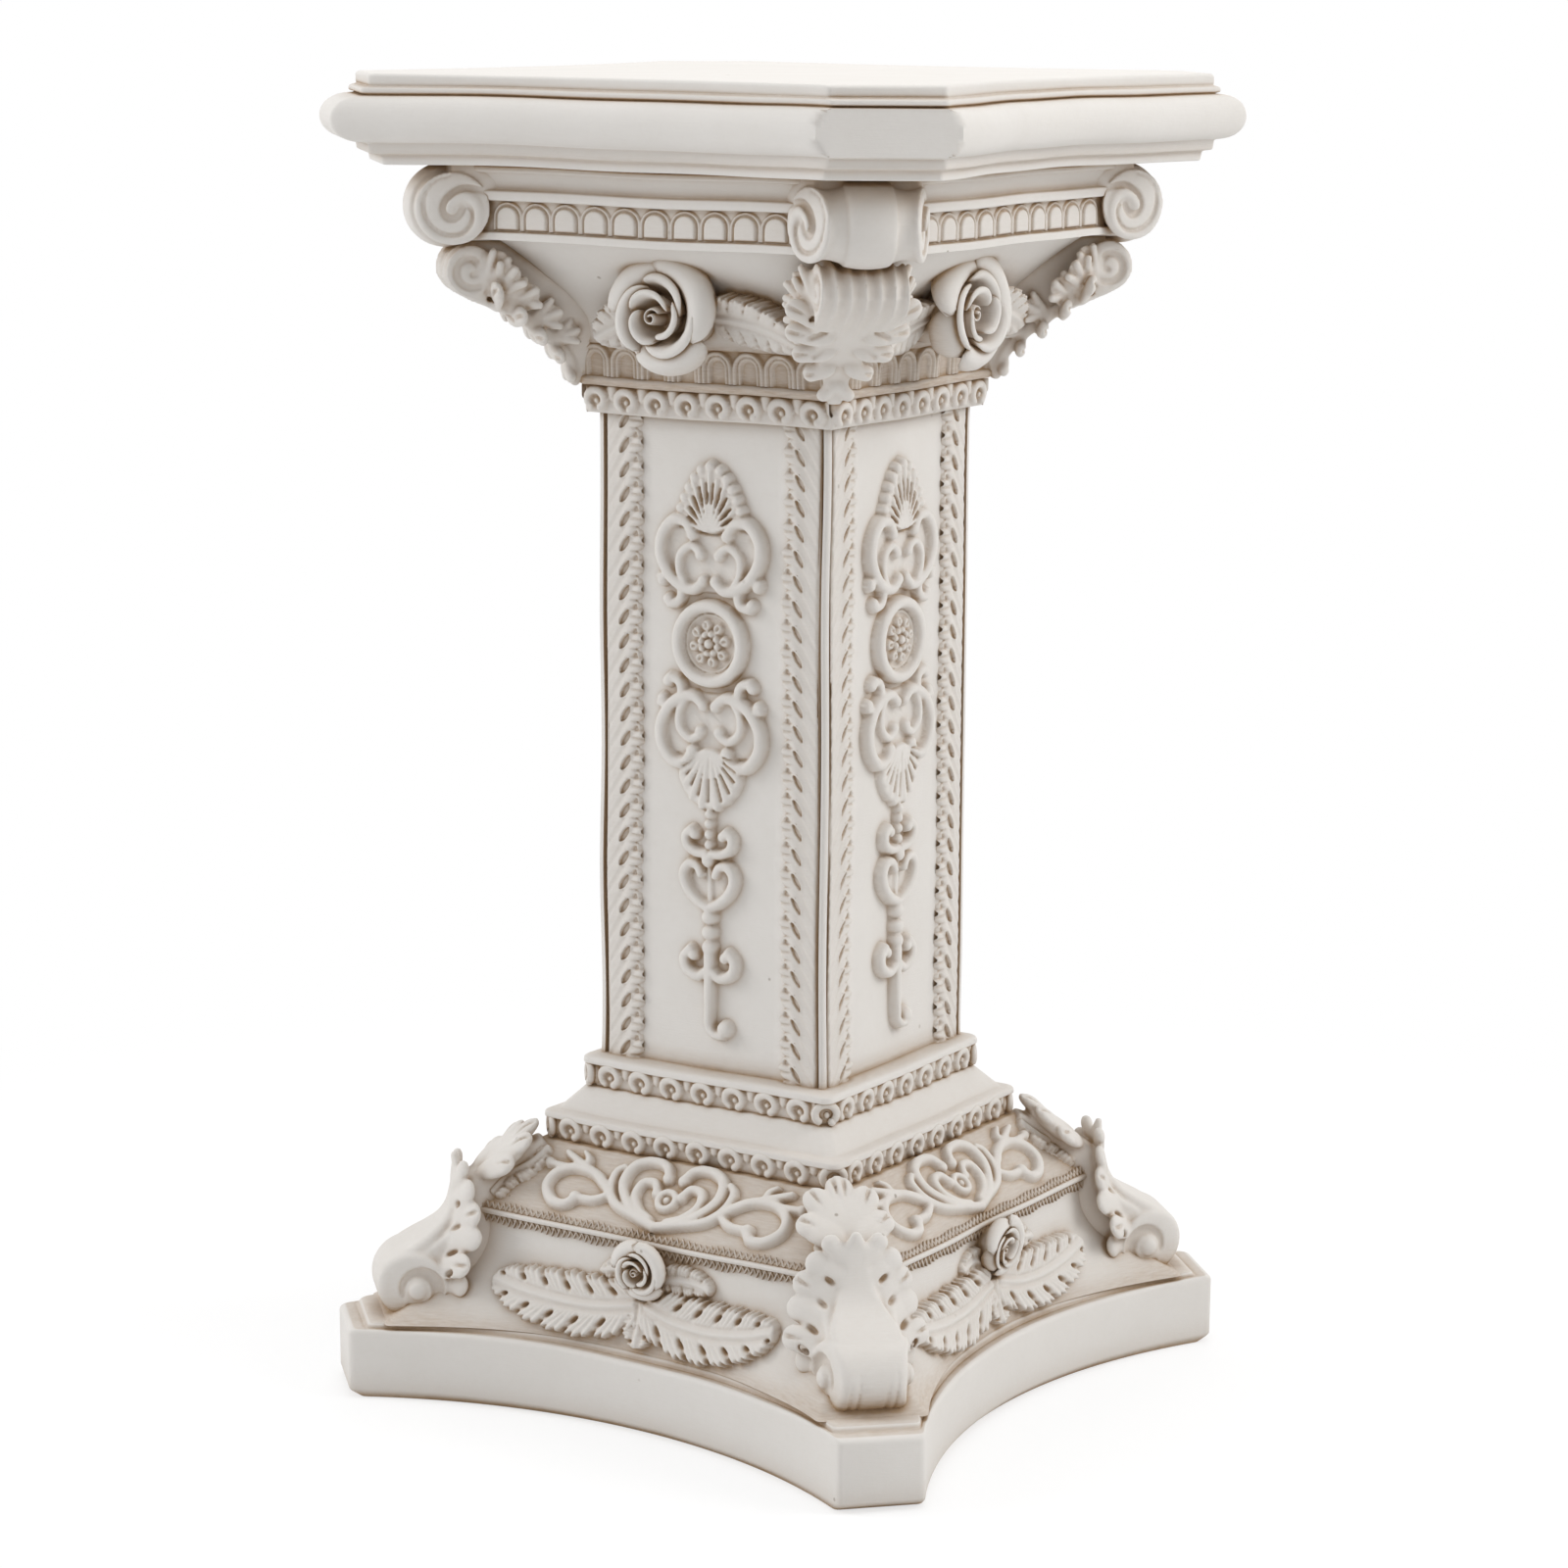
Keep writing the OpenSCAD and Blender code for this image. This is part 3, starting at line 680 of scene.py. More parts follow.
def foot():
    """The sweeping panels, and the steps and slope from the rope up to the shaft."""
    shape = Shape()
    levels = []
    rises = 24
    for k in range(rises + 1):
        t = k / rises
        levels.append((Z_LIP - 0.5 + (Z_ROPE - Z_LIP + 0.5) * t, *panel_half(t)))
    z = np.array([level[0] for level in levels])
    wash = 0.6 * bump(z, Z_LIP, 4.5) + 0.22 * bump(z, Z_ROPE, 3.5)
    loft(shape, levels, 40, 3.0, wash)
    x, y, z = shape.points[0].T
    along = np.minimum(np.abs(x), np.abs(y))
    smear = 0.32 * bump(z, 65, 6) * bump(along, 66, 16) + 0.38 * bump(z, 44, 8) * bump(along, 112, 24)
    shape.washes[0] = np.clip(shape.washes[0] + smear + 0.25 * bump(z, 46, 5) * bump(along, 40, 40), 0, 1)

    profile = eased(
        around(Z_ROPE, ROPE_HALF, (-1, -3), (-0.5, 0.6))
        + around(Z_SLOPE, ROPE_HALF, (-1, 0.6), (0, -2), (0.5, -3))
        + around(Z_LOWER, LOWER_HALF, (-0.4, 0.6), (0, -3.5))
        + around(Z_LOWER_TOP, LOWER_HALF, (-4, -3), (-3.6, 0.4), (-0.8, 0.2), (0, -1.5), (0.6, -5))
        + around(Z_UPPER, UPPER_HALF, (-0.6, -1.2), (0, -4))
        + around(Z_SHAFT, UPPER_HALF, (-5, -3.5), (-4.6, 0.2), (-1.6, 0), (-0.6, -1.5), (0, -4))
        + around(Z_SHAFT, PANEL_HALF, (0.6, -1)), 0.8)
    z = profile[:, 0]
    slope = (z > Z_ROPE + 2) & (z < Z_LOWER)
    wash = 0.55 * slope + 0.35 * bump(z, Z_LOWER + 4, 4) + 0.35 * bump(z, Z_SHAFT - 10, 4)
    wash += 0.25 * bump(z, Z_LOWER_TOP, 1.5) + 0.35 * bump(z, Z_SHAFT, 1.2)
    widening = np.clip((profile[:, 1] - LOWER_HALF) / (ROPE_HALF - LOWER_HALF), 0, 1)
    levels = [(up, half, 3.0 + 3.0 * share, 0) for (up, half), share in zip(profile, widening)]
    return loft(shape, levels, 20, 2.0, wash)


def shaft():
    """The square shaft, a slot beside each corner strip; its open ends are sunk in the foot and capital."""
    strip, slot = SHAFT_HALF - 2.6, SHAFT_HALF - 4.6
    bottom, raised = -PANEL_HALF + 1.2, -PANEL_HALF - 0.9
    side = [(-strip, -SHAFT_HALF), (-strip, bottom), (-slot, bottom), (-slot, raised),
            (-LEAF_BAND[0] - 1, raised), (-LEAF_BAND[0], -PANEL_HALF)]
    side = side + [(-x, y) for x, y in side[::-1]]
    side = [(-SHAFT_HALF + 0.9, -SHAFT_HALF)] + side + [(SHAFT_HALF - 0.9, -SHAFT_HALF)]
    dense = []
    for (ax, ay), (bx, by) in zip(side[:-1], side[1:]):
        steps = max(1, int(abs(bx - ax) / 6))
        dense += [(ax + (bx - ax) * k / steps, ay + (by - ay) * k / steps) for k in range(steps)]
    dense = np.array(dense + [side[-1]])
    flat = np.column_stack([dense, np.zeros(len(dense))])
    ring = np.concatenate([spun(flat, 90 * quarter)[:, :2] for quarter in range(4)])
    heights = np.linspace(Z_SHAFT - 1, Z_CAP + 1, 61)
    points = np.concatenate([np.column_stack([ring, np.full(len(ring), z)]) for z in heights])
    ends = 0.55 * np.exp(-((heights - Z_SHAFT) / 5) ** 2) + 0.35 * np.exp(-((heights - Z_CAP) / 4) ** 2)
    quads = net(len(heights), len(ring), wrap=True)[:, ::-1]
    return Shape().add(points, quads, np.repeat(ends, len(ring)))


def bell_half(t):
    """Half width of the capital's bell, t from its foot to the band."""
    return CAP_HALF + 2 + (BELL_TOP - CAP_HALF - 2) * t**1.6


def capital():
    """The mouldings and the bell between the shaft and the table."""
    lower = eased(around(Z_CAP, SHAFT_HALF, (-0.6, -3)) + around(Z_CAP, CAP_HALF, (0, -3))
                  + around(Z_ARCH, CAP_HALF, (-4.6, -3), (-4.2, 0.6), (-1.2, 1.8), (0, 0.6), (0.4, -1))
                  + around(Z_BELL, CAP_HALF, (-1, 0)), 0.8)
    bell = [(Z_BELL + (Z_BAND - Z_BELL) * t, bell_half(t)) for t in np.linspace(0, 1, 14)]
    mouldings = eased(
        around(Z_BAND, BAND_HALF, (0, -0.5), (3.4, 0), (3.8, -2.4), (17.4, -2.4), (17.8, 1.6), (22, 2.0),
               (22.6, -0.8), (26, -0.6), (30, 1.2), (30.4, 3.4))
        + around(Z_TABLE, BAND_HALF, (-0.8, 3.8), (0.5, -6)), 0.8)
    profile = np.concatenate([lower, bell, mouldings])
    z = profile[:, 0]
    cut = np.interp(z, [Z_CAP, Z_BELL, Z_BAND], [2, 4, 30])
    wash = 0.72 * ((z > Z_ARCH) & (z < Z_BELL + 2)) + 0.35 * bump(z, Z_CAP + 6, 5) + 0.6 * bump(z, Z_TABLE, 3)
    wash += 1.0 * bump(z, Z_ARCH - 2.4, 2.6)
    wash += 0.25 * bump(z, Z_BAND + 23, 1.5) + 0.3 * bump(z, Z_BAND + 5, 1.5)
    levels = [(up, half, corner, 0) for (up, half), corner in zip(profile, cut)]
    return loft(Shape(), levels, 24, 1.5, wash)


def table():
    """The moulded slab; its rounded edge is rubbed flat on the front corner."""
    mid, reach = Z_TABLE + 20.2, 10.4
    inner = TABLE_HALF + 0.4
    torus = [(mid + reach * math.sin(a), inner + (TORUS_HALF - TABLE_HALF - 0.4) * math.cos(a) ** 0.8)
             for a in np.radians(np.linspace(-88, 88, 17))]
    below = around(Z_TABLE, TABLE_HALF, (-0.4, -22), (0, -4.2), (4.6, -3.6), (5.0, 0), (9.2, 0.4))
    above = around(HEIGHT, TABLE_HALF, (-9.0, 0.4), (-8.4, 2.2), (-6.2, 2.0), (-5.4, -0.3), (-4.4, 0),
                   (-0.9, 0), (0, -1.2), (0, -12))
    profile = np.concatenate([eased(below, 0.9), torus, eased(above, 0.7)])
    z = profile[:, 0]
    wash = 0.35 * bump(z, Z_TABLE + 4.8, 2) + 0.4 * bump(z, HEIGHT - 5.2, 1.2)
    wash += 0.3 * bump(z, HEIGHT - 9.2, 1.2)
    levels = [(up, half, TABLE_CUT - 0.25 * max(half - TABLE_HALF, 0), TABLE_HOLLOW) for up, half in profile]
    shape = loft(Shape(), levels, 56, 1.6, wash)
    points = shape.points[0]
    rubbed_at = 201.0
    over = np.maximum((points[:, 0] - points[:, 1]) * HALF_ROOT - rubbed_at, 0) * HALF_ROOT
    points[:, 0] -= over
    points[:, 1] += over
    return shape


# ---- bead courses, tiles, arches and the rope ----

def corner_bead(shape, half, z):
    """An open ring round a small pearl, on the turn between two sides."""
    sweep = np.radians(np.linspace(238, -50, 16))
    reach = half * math.sqrt(2)
    x, up = 5.0 * np.cos(sweep), z + 4.5 * np.sin(sweep)
    part = Shape()
    tube(part, on_side(x, reach, up), 1.95, 7, 0.18)
    ball(part, on_side(x[-1] - 0.4, reach + 0.3, up[-1] - 0.2)[0], 2.1, 0.1)
    ball(part, on_side(0.5, reach - 0.4, z - 0.4)[0], 1.7, 0.3)
    ball(part, on_side(0, reach - 3.6, z)[0], (7.2, 3.6, 6.0), 0.4)
    shape.join(part.moved(lambda p: spun(p, 45.0)))


def bead_row(half, end, z, places):
    """One side's row of open rings on a band, each ending in a bulb and holding a small pearl."""
    relief = Relief(-end - 0.5, end + 0.5, -6.4, 6.4, 0.6)
    relief.blot([(-end, -5.8), (end, -5.8), (end, 5.6), (-end, 5.6)], 1.3, 0.8)
    sweep = np.radians(np.linspace(238, -50, 15))
    for x in places:
        relief.stroke([(x + 8.9, 5.2), (x + 8.9, 1.6)], [3.4, 2.2], 2.9)
        ring = np.column_stack([x + 4.9 * np.cos(sweep), 4.4 * np.sin(sweep)])
        relief.stroke(ring, [1.6, 2.0, 2.0, 1.8], [3.4, 4.3, 4.3, 3.8], 1)
        relief.ball((x + 4.9 * math.cos(sweep[-1]) - 0.3, 4.4 * math.sin(sweep[-1])), 2.0, 4.3)
        relief.ball((x + 0.6, -0.5), 1.5, 3.3)
    return relief.shape(lambda x, v, h: on_side(x, half + h, z + v), 0.15)


def bead_courses():
    """Bead rows of one side; the corner beads sit on the turn of the two lower courses."""
    shape = Shape()
    for half, end, z, count, pitch, aside in (
            (CAP_HALF - 3.2, CAP_HALF - 3.0, Z_CAP + 5.6, 8, 17.0, 0.9),
            (UPPER_HALF - 3.7, UPPER_HALF - 8, Z_SHAFT - 9.8, 7, 17.8, 0.0),
            (LOWER_HALF - 3.2, LOWER_HALF - 8, Z_LOWER_TOP - 7.8, 8, 18.2, 2.6)):
        places = (np.arange(count) - (count - 1) / 2) * pitch - aside
        shape.join(bead_row(half, end, z, places))
    shape = thinned(shape, 0.5)
    corner_bead(shape, UPPER_HALF - 3.4, Z_SHAFT - 9.8)
    corner_bead(shape, LOWER_HALF - 3.4, Z_LOWER_TOP - 7.8)
    return shape


def egg_tiles():
    """Round-topped tiles, each under a thin arch."""
    relief = Relief(-80, 80, 0.5, 13.0, 0.5)
    pitch = 16.0
    tile_half, arch_half, low = 5.6, 7.4, 0.8
    turn = np.radians(np.linspace(0, 180, 11))
    for k in range(10):
        x = (k - 4.5) * pitch
        tile = [(x + tile_half * math.cos(a), 6.2 + 4.9 * math.sin(a)) for a in turn]
        relief.blot([(x - tile_half, low), (x + tile_half, low)] + tile, 1.9, 1.2, 0.6)
        arch = [(x + arch_half * math.cos(a), 6.0 + 6.6 * math.sin(a)) for a in turn]
        relief.stroke([(x + arch_half, low)] + arch + [(x - arch_half, low)], 0.5, 1.2, 3)
    return relief.shape(lambda x, v, h: on_side(x, BAND_HALF - 2.4 + h, Z_BAND + 4 + v), 0.18)


def arches():
    """A row of small round arches, each with a second line inside."""
    relief = Relief(-69, 69, 0.2, 15.8, 0.6)
    pitch = 17.0
    turn = np.radians(np.linspace(180, 0, 9))
    for k in range(8):
        x = (k - 3.5) * pitch
        for wide, top, radius, height in ((7.3, 14.2, 0.95, 1.9), (4.9, 12.2, 0.7, 1.2)):
            arch = [(x + wide * math.cos(a), top - wide + wide * math.sin(a)) for a in turn]
            relief.stroke([(x - wide, 0.4)] + arch + [(x + wide, 0.4)], radius, height, 3)
    return relief.shape(lambda x, v, h: on_side(x, CAP_HALF - 0.6 + v * 0.06 + h, Z_ARCH + v), 0.55)


def rope():
    """A rod between two rows of lace along the top of the sweeping panel."""
    shape = Shape()
    z, out = (Z_ROPE + Z_SLOPE) / 2 - 0.4, ROPE_HALF + 0.9
    rod_half, lace_run, pitch = 104, 204, 3.2
    tube(shape, on_side(np.linspace(-rod_half, rod_half, 40), out, z), 1.55, 8, 0.15)
    count = int(lace_run / pitch)
    x = (np.arange(2 * count + 1) - count) * pitch / 2
    swing = np.where(np.arange(len(x)) % 2 == 0, 0.0, 1.0) * (1 + 0.15 * np.sin(x * 1.7))
    for foot_z, tip, out_step in ((z + 1.2, 3.1, -0.9), (z - 1.2, -3.7, 0.1)):
        tube(shape, on_side(x, out + out_step * swing - 0.3, foot_z + tip * swing), 0.95, 5, 0.25)
    return shape


# ---- the shaft's carving ----

def leaf_band():
    """One band of overlapping leaves beside an edge of a side, and its mirror beside the other edge."""
    low, high = LEAF_BAND
    relief = Relief(low - 0.8, high + 0.4, Z_SHAFT, Z_CAP, 0.5)
    u = relief.x[:, None] - low
    v = relief.v[None, :]
    pitch, slope = 11.5, 1.5
    lean = ((v + slope * u) / pitch) % 1.0
    ridge = np.abs(np.sin(np.pi * lean))
    outer = np.clip((u - 9) / 6, 0, 1)
    stems = 0.9 * ridge * (1 - 0.7 * outer) + 0.25 * np.sin(np.pi * ((2 * lean) % 1)) * outer
    tooth = (v / pitch * 3 + 0.4) % 1.0
    edge = 1.1 - 1.5 * np.sqrt(np.clip(np.sin(np.pi * tooth), 0, 1))
    edge = edge + 1.1 * np.cos(2 * np.pi * ((v + 2) / pitch))
    inside = np.minimum(u - edge, high - low - u)
    body = plateau(inside, 1.75, 1.6, 0.8) + np.where(inside > 0.4, stems, 0)
    gaps = np.exp(-(np.minimum(tooth, 1 - tooth) / 0.15) ** 2) * np.clip((6.5 - u) / 3, 0, 1)
    tilt = math.atan(slope)
    middle = ((v + 0.35 * pitch) % pitch) - pitch / 2
    long = middle * math.sin(tilt) - (u - 8.6) * math.cos(tilt)
    short = middle * math.cos(tilt) + (u - 8.6) * math.sin(tilt)
    width = np.maximum(1.25 * np.sqrt(np.clip(1 - (long / 4.1) ** 2, 0, 1)), 0.05)
    hole = np.exp(-(short / width) ** 4) * (np.abs(long) < 4.1)
    rim = np.exp(-((np.abs(short) - width - 0.6) / 0.6) ** 2) * (np.abs(long) < 4.4)
    dot = np.exp(-((u - 2.6) / 0.9) ** 2 - ((((v + 0.88 * pitch) % pitch) - pitch / 2) / 0.9) ** 2)
    body = body + np.where(inside > 0.3, 0.45 * rim - 1.0 * gaps - 2.9 * hole - 1.6 * dot, 0)
    relief.h = np.where(inside > 0, np.maximum(body, -0.35), body)
    band = relief.shape(lambda x, v, h: on_side(x, PANEL_HALF + h, v), 0.16)
    other = relief.shape(lambda x, v, h: on_side(-x, PANEL_HALF + h, v), 0.16)
    other.loops = [np.concatenate(other.loops).reshape(-1, 4)[:, ::-1].ravel()]
    return band.join(other)


def round_spot(reach, turn, v):
    """A spot (along, up) that far from the middle line at height v, at that angle."""
    return reach * math.cos(turn), v + reach * math.sin(turn)


def both_ways(relief, place):
    """Stroke and ball made in two copies, each point put in place by place(side, x, v, ...)."""
    def pair(points, radius, height, *more):
        for side in (-1, 1):
            relief.stroke([place(side, x, v, *more) for x, v in points], radius, height)

    def pair_ball(x, v, radius, height, *more):
        for side in (-1, 1):
            relief.ball(place(side, x, v, *more), radius, height)
    return pair, pair_ball


def cartouche():
    """The long ornament: palmette, two lyres about a ringed rosette, shell, curls, heart and stem."""
    relief = Relief(-33, 33, 172, 452, 0.7)
    mid = 361.5

    def place(side, x, z, flip=1):
        return side * x, mid + flip * (z - mid)

    pair, pair_ball = both_ways(relief, place)

    # two lyres, each on a thin bed that ties its open work together
    for flip in (1, -1):
        bed = [(-22, 391), (-26, 402), (-22, 414), (-6, 416), (6, 416), (22, 414), (26, 402), (22, 391),
               (8, 385), (-8, 385)]
        relief.blot([place(1, x, z, flip) for x, z in bed], 1.2, 1.5)
        pair([(3.4, 390.0), (8.5, 386.4), (15, 387.4), (22, 392), (27.2, 401), (26.6, 410.5), (20.5, 417.8),
              (13.5, 417.6), (10.0, 413.0)], [2.2, 2.7, 2.8, 2.7, 2.3], 5.4, flip)
        pair_ball(3.3, 390.6, 2.9, 5.2, flip)
        pair_ball(9.6, 412.0, 3.2, 5.4, flip)
        pair([(13.5, 388.5), (16.8, 394.5), (16.4, 402), (10.8, 406.6), (6.0, 404.6)],
             [1.8, 2.1, 2.1], 4.6, flip)
        pair_ball(5.2, 402.6, 2.9, 4.9, flip)
        pair([(27.5, 391.2), (22.0, 391.6), (17.0, 388.0), (15.6, 384.0), (17.4, 380.0), (22.0, 378.6)],
             [1.9, 2.4, 2.2], 4.4, flip)
        pair_ball(26.4, 389.4, 3.0, 4.4, flip)
        pair_ball(23.2, 380.6, 2.9, 4.4, flip)

    # palmette: narrow ribs that fan to a scalloped rim
    outline = [(6, 413.5), (12, 414.5), (17.5, 417.5), (18.2, 422), (15.6, 428), (12.8, 433.5), (9.0, 439),
               (4.6, 443.4), (0, 445.6)]
    relief.blot(outline + [(-x, z) for x, z in outline[-2::-1]], 3.4, 2.2)
    for x, z in ((17.2, 418.2), (16.2, 423.6), (14.0, 428.6), (11.6, 433.4), (8.6, 438.0), (5.0, 441.8)):
        relief.ball((x, z), 2.6, 4.6)
        relief.ball((-x, z), 2.6, 4.6)
    relief.ball((0, 443.6), 2.8, 4.8)
    fingers = np.radians([22, 38, 54, 68, 80, 90, 100, 112, 126, 142, 158])
    for k, a in enumerate(fingers):
        reach = (15.5 + 12.5 * math.sin(a) ** 4) * (1.0 if k % 2 else 0.9)
        tip = (0.95 * reach * math.cos(a), 413.0 + reach * math.sin(a))
        rib = [(2.4 * math.cos(a), 413.6), (tip[0] * 0.5, (tip[1] + 412.4) / 2), tip]
        relief.stroke(rib, [0.7, 0.95, 1.3], [3.8, 4.6, 4.4])
    for a in (fingers[:-1] + fingers[1:]) / 2:
        reach = 14.5 + 10.5 * math.sin(a) ** 4
        gap = [round_spot(reach * share, a, 413) for share in (0.55, 0.72, 0.92)]
        relief.groove(gap, [0.5, 1.25, 0.5], 2.6)
    relief.groove([(-6.5, 413.4), (0, 412.2), (6.5, 413.4)], 0.8, 2.0)

    # ring and rosette
    relief.ball((0, mid), 17.5, 1.3)
    turn = np.radians(np.linspace(0, 360, 37))
    relief.stroke(np.column_stack([17.6 * np.cos(turn), mid + 17.6 * np.sin(turn)]), 2.7, 5.6, 1)
    relief.stroke(np.column_stack([13.4 * np.cos(turn), mid + 13.4 * np.sin(turn)]), 0.7, 1.9, 1)
    for a in np.radians(np.arange(8) * 45 + 10):
        relief.ball(round_spot(8.6, a, mid), 2.5, 4.4)
        relief.ball(round_spot(4.6, a + 0.35, mid), 1.5, 4.6)
        relief.stroke([round_spot(4.5, a, mid), round_spot(8.5, a, mid)], 0.9, 3.2)
        relief.groove([round_spot(8.2, a, mid), round_spot(9.2, a, mid)], 1.0, 1.6)
    relief.ball((0, mid), 2.2, 5.4)

    # shell
    shell_top = 311.5
    shell = [(6.5, shell_top), (12, 309.5), (17.2, 303.0), (17.4, 297.5), (14.5, 291.5), (9.5, 286.8),
             (4.2, 284.4), (0, 283.2)]
    relief.blot(shell + [(-x, z) for x, z in shell[-2::-1]], 3.4, 2.2)
    for a in np.radians([-158, -143, -128, -113, -99, -81, -67, -52, -37, -22]):
        reach = 17.6 + 9.4 * math.sin(a) ** 4
        rib = [(2.5 * math.cos(a), shell_top), round_spot(reach, a, shell_top)]
        relief.stroke(rib, [0.8, 1.5, 2.2], [4.0, 4.5, 4.0], 4)
        gap = [round_spot(reach * share, a + 0.13, shell_top) for share in (0.5, 0.9)]
        relief.groove(gap, [0.5, 0.9], 1.8)

    # drop of beads and curls, the heart, and the stem with its hook
    relief.stroke([(0, 284), (0, 184)], 1.9, 2.6)
    for z, r in ((281.5, 2.3), (276.8, 2.4), (271.8, 2.4), (266.8, 2.4)):
        relief.ball((0, z), r, 4.4)
    pair([(1.5, 262.5), (7.0, 262.6), (12.0, 265.8), (12.8, 270.6), (9.6, 273.4)], [2.0, 2.3, 2.2], 4.8)
    pair_ball(8.0, 271.4, 2.6, 5.0)
    relief.ball((0, 259.6), 3.7, 5.6)
    heart = [(-11, 251), (-8, 256), (0, 253), (8, 256), (11, 251), (8, 243), (0, 238), (-8, 243)]
    relief.blot(heart, 1.2, 1.5)
    pair([(4.0, 252.6), (6.2, 256.6), (10.8, 257.0), (14.0, 252.0), (11.8, 245.2), (6.0, 239.6),
          (0.3, 236.8)], [1.9, 2.3, 2.4, 2.3], 5.2)
    for z in (232.4, 225.0, 217.8):
        relief.ball((0, z), 3.9, 5.6)
    pair([(1.5, 206.6), (6.2, 203.6), (12.4, 206.2), (14.0, 211.8), (10.6, 216.0)], [2.2, 2.5, 2.4], 5.0)
    pair_ball(8.9, 213.6, 2.7, 5.2)
    relief.stroke([(0, 214), (0, 182.5)], [2.9, 2.0, 1.9], 5.2)
    relief.stroke([(0, 184), (0.6, 179.6), (3.6, 176.6), (7.6, 176.4)], 2.0, 5.0)
    relief.ball((9.0, 179.6), 4.0, 5.6)
    return relief.shape(lambda x, v, h: on_side(x, PANEL_HALF + h, v), 0.06)


# ---- carving of the foot's sides ----

def arabesque():
    """Scrolling stems on the sloping panel between the rope and the lower beads."""
    relief = Relief(-98, 98, -1, 37, 0.74)
    cx = 1.0

    pair, pair_ball = both_ways(relief, lambda side, x, v: (cx + side * x, v))
    turn = np.radians(np.linspace(0, 360, 19))
    relief.stroke(np.column_stack([cx + 4.6 * np.cos(turn), 16.5 + 4.6 * np.sin(turn)]), 1.6, 3.6, 1)
    relief.ball((cx, 16.5), 2.0, 3.4)
    pair([(4.6, 29.2), (8.0, 34.0), (16.0, 35.6), (24.6, 31.6), (26.6, 22.0), (21.0, 13.0), (11.0, 5.4),
          (0.0, 1.6)], [2.0, 2.5, 2.6, 2.4, 2.4], 4.4)
    pair_ball(4.4, 27.8, 2.9, 4.6)
    pair([(7.2, 20.4), (10.4, 24.6), (16.4, 23.4), (17.6, 16.0), (12.4, 9.0), (5.0, 5.2)],
         [1.9, 2.2, 2.1], 3.8)
    pair_ball(7.0, 19.2, 2.5, 4.0)
    pair([(10.0, 4.2), (24.0, 9.0), (32.0, 15.6), (41.0, 22.4), (50.0, 26.0), (59.0, 29.8), (63.0, 31.6)],
         [1.6, 2.4, 2.4, 2.0, 1.3], 4.2)
    pair([(29.0, 13.0), (32.6, 20.0), (32.8, 26.8), (29.6, 30.0)], [1.7, 2.1, 1.6], 3.9)
    pair([(37.0, 18.6), (44.5, 23.6), (56.0, 24.8), (64.6, 20.0), (66.4, 12.0), (60.0, 5.4), (52.5, 4.6),
          (48.6, 8.2)], [1.6, 2.2, 2.5, 2.4, 2.2], 4.2)
    pair_ball(48.4, 9.4, 3.1, 4.6)
    pair([(31.0, 14.0), (38.0, 10.0), (47.0, 9.4)], [1.6, 2.0, 2.0], 3.8)
    pair([(55.0, 24.6), (63.0, 24.0), (70.5, 24.6)], [1.8, 2.0, 1.6], 3.8)
    pair_ball(71.0, 25.0, 2.4, 4.0)
    pair([(50.0, 26.0), (50.6, 30.4), (54.0, 33.6)], [1.8, 1.8, 1.0], 3.8)
    for s in (-1, 1):
        midrib = [(cx + s * x, v) for x, v in ((94, 2), (90, 14), (81, 22), (75, 33))]
        relief.leaf(midrib, 15, 4, 3.0, 0.8)
    run = ROPE_HALF - 2.4 - LOWER_HALF - 0.6
    rise = Z_LOWER - Z_SLOPE - 0.9
    long = math.hypot(run, rise)

    def place(x, v, h):
        out = ROPE_HALF - 3.0 - run * v / long + h * rise / long
        up = Z_SLOPE + 0.5 + rise * v / long + h * run / long
        return on_side(x, out, up)
    return relief.shape(place, 0.1)


def spray():
    """Two long serrated leaves and a few small ones behind a rose, on the sweeping panel."""
    relief = Relief(-86, 80, 37.2, 83, 0.62)
    relief.leaf([(10, 72), (20, 73.2), (29, 73), (38, 71)], 15, 4, 4.2, 0.6)
    relief.leaf([(-4, 66), (-13, 72), (-25, 70)], 13, 3, 2.8, 0.3)
    relief.leaf([(1, 60), (0.5, 50), (0, 38.6)], 21, 3, 4.4, 2.6)
    relief.leaf([(-2, 58), (-25, 53.4), (-48, 53.2), (-66, 55.2), (-81.5, 58.6)], 30, 6, 5.0, 3.4)
    relief.leaf([(2, 58.5), (20, 53.6), (40, 52.6), (60, 55.2), (77, 60.0)], 30, 6, 5.4, 3.4)

    def place(x, v, h):
        return on_side(x, panel_out(x, v) + 0.985 * h, v + 0.17 * h)
    return relief.shape(place, 0.08)


# ---- roses ----

def sheet(shape, middle, thick, wash):
    """Closed thick sheet about a grid of points; the thickness may vary over it."""
    nu, nv = middle.shape[:2]
    normal = np.cross(np.gradient(middle, axis=0), np.gradient(middle, axis=1))
    normal /= np.linalg.norm(normal, axis=2)[..., None] + 1e-9
    offset = normal * np.broadcast_to(thick, (nu, nv))[..., None] / 2
    rings = np.concatenate([middle + offset, (middle - offset)[:, ::-1]], 1)
    k = np.arange(nv - 1)
    start = np.stack([k, k + 1, 2 * nv - 2 - k, 2 * nv - 1 - k], 1)
    end = start[:, ::-1] + (nu - 1) * 2 * nv
    value = np.concatenate([wash, wash[:, ::-1]], 1).ravel()
    return shape.add(rings.reshape(-1, 3), [net(nu, 2 * nv, wrap=True), start, end], value)


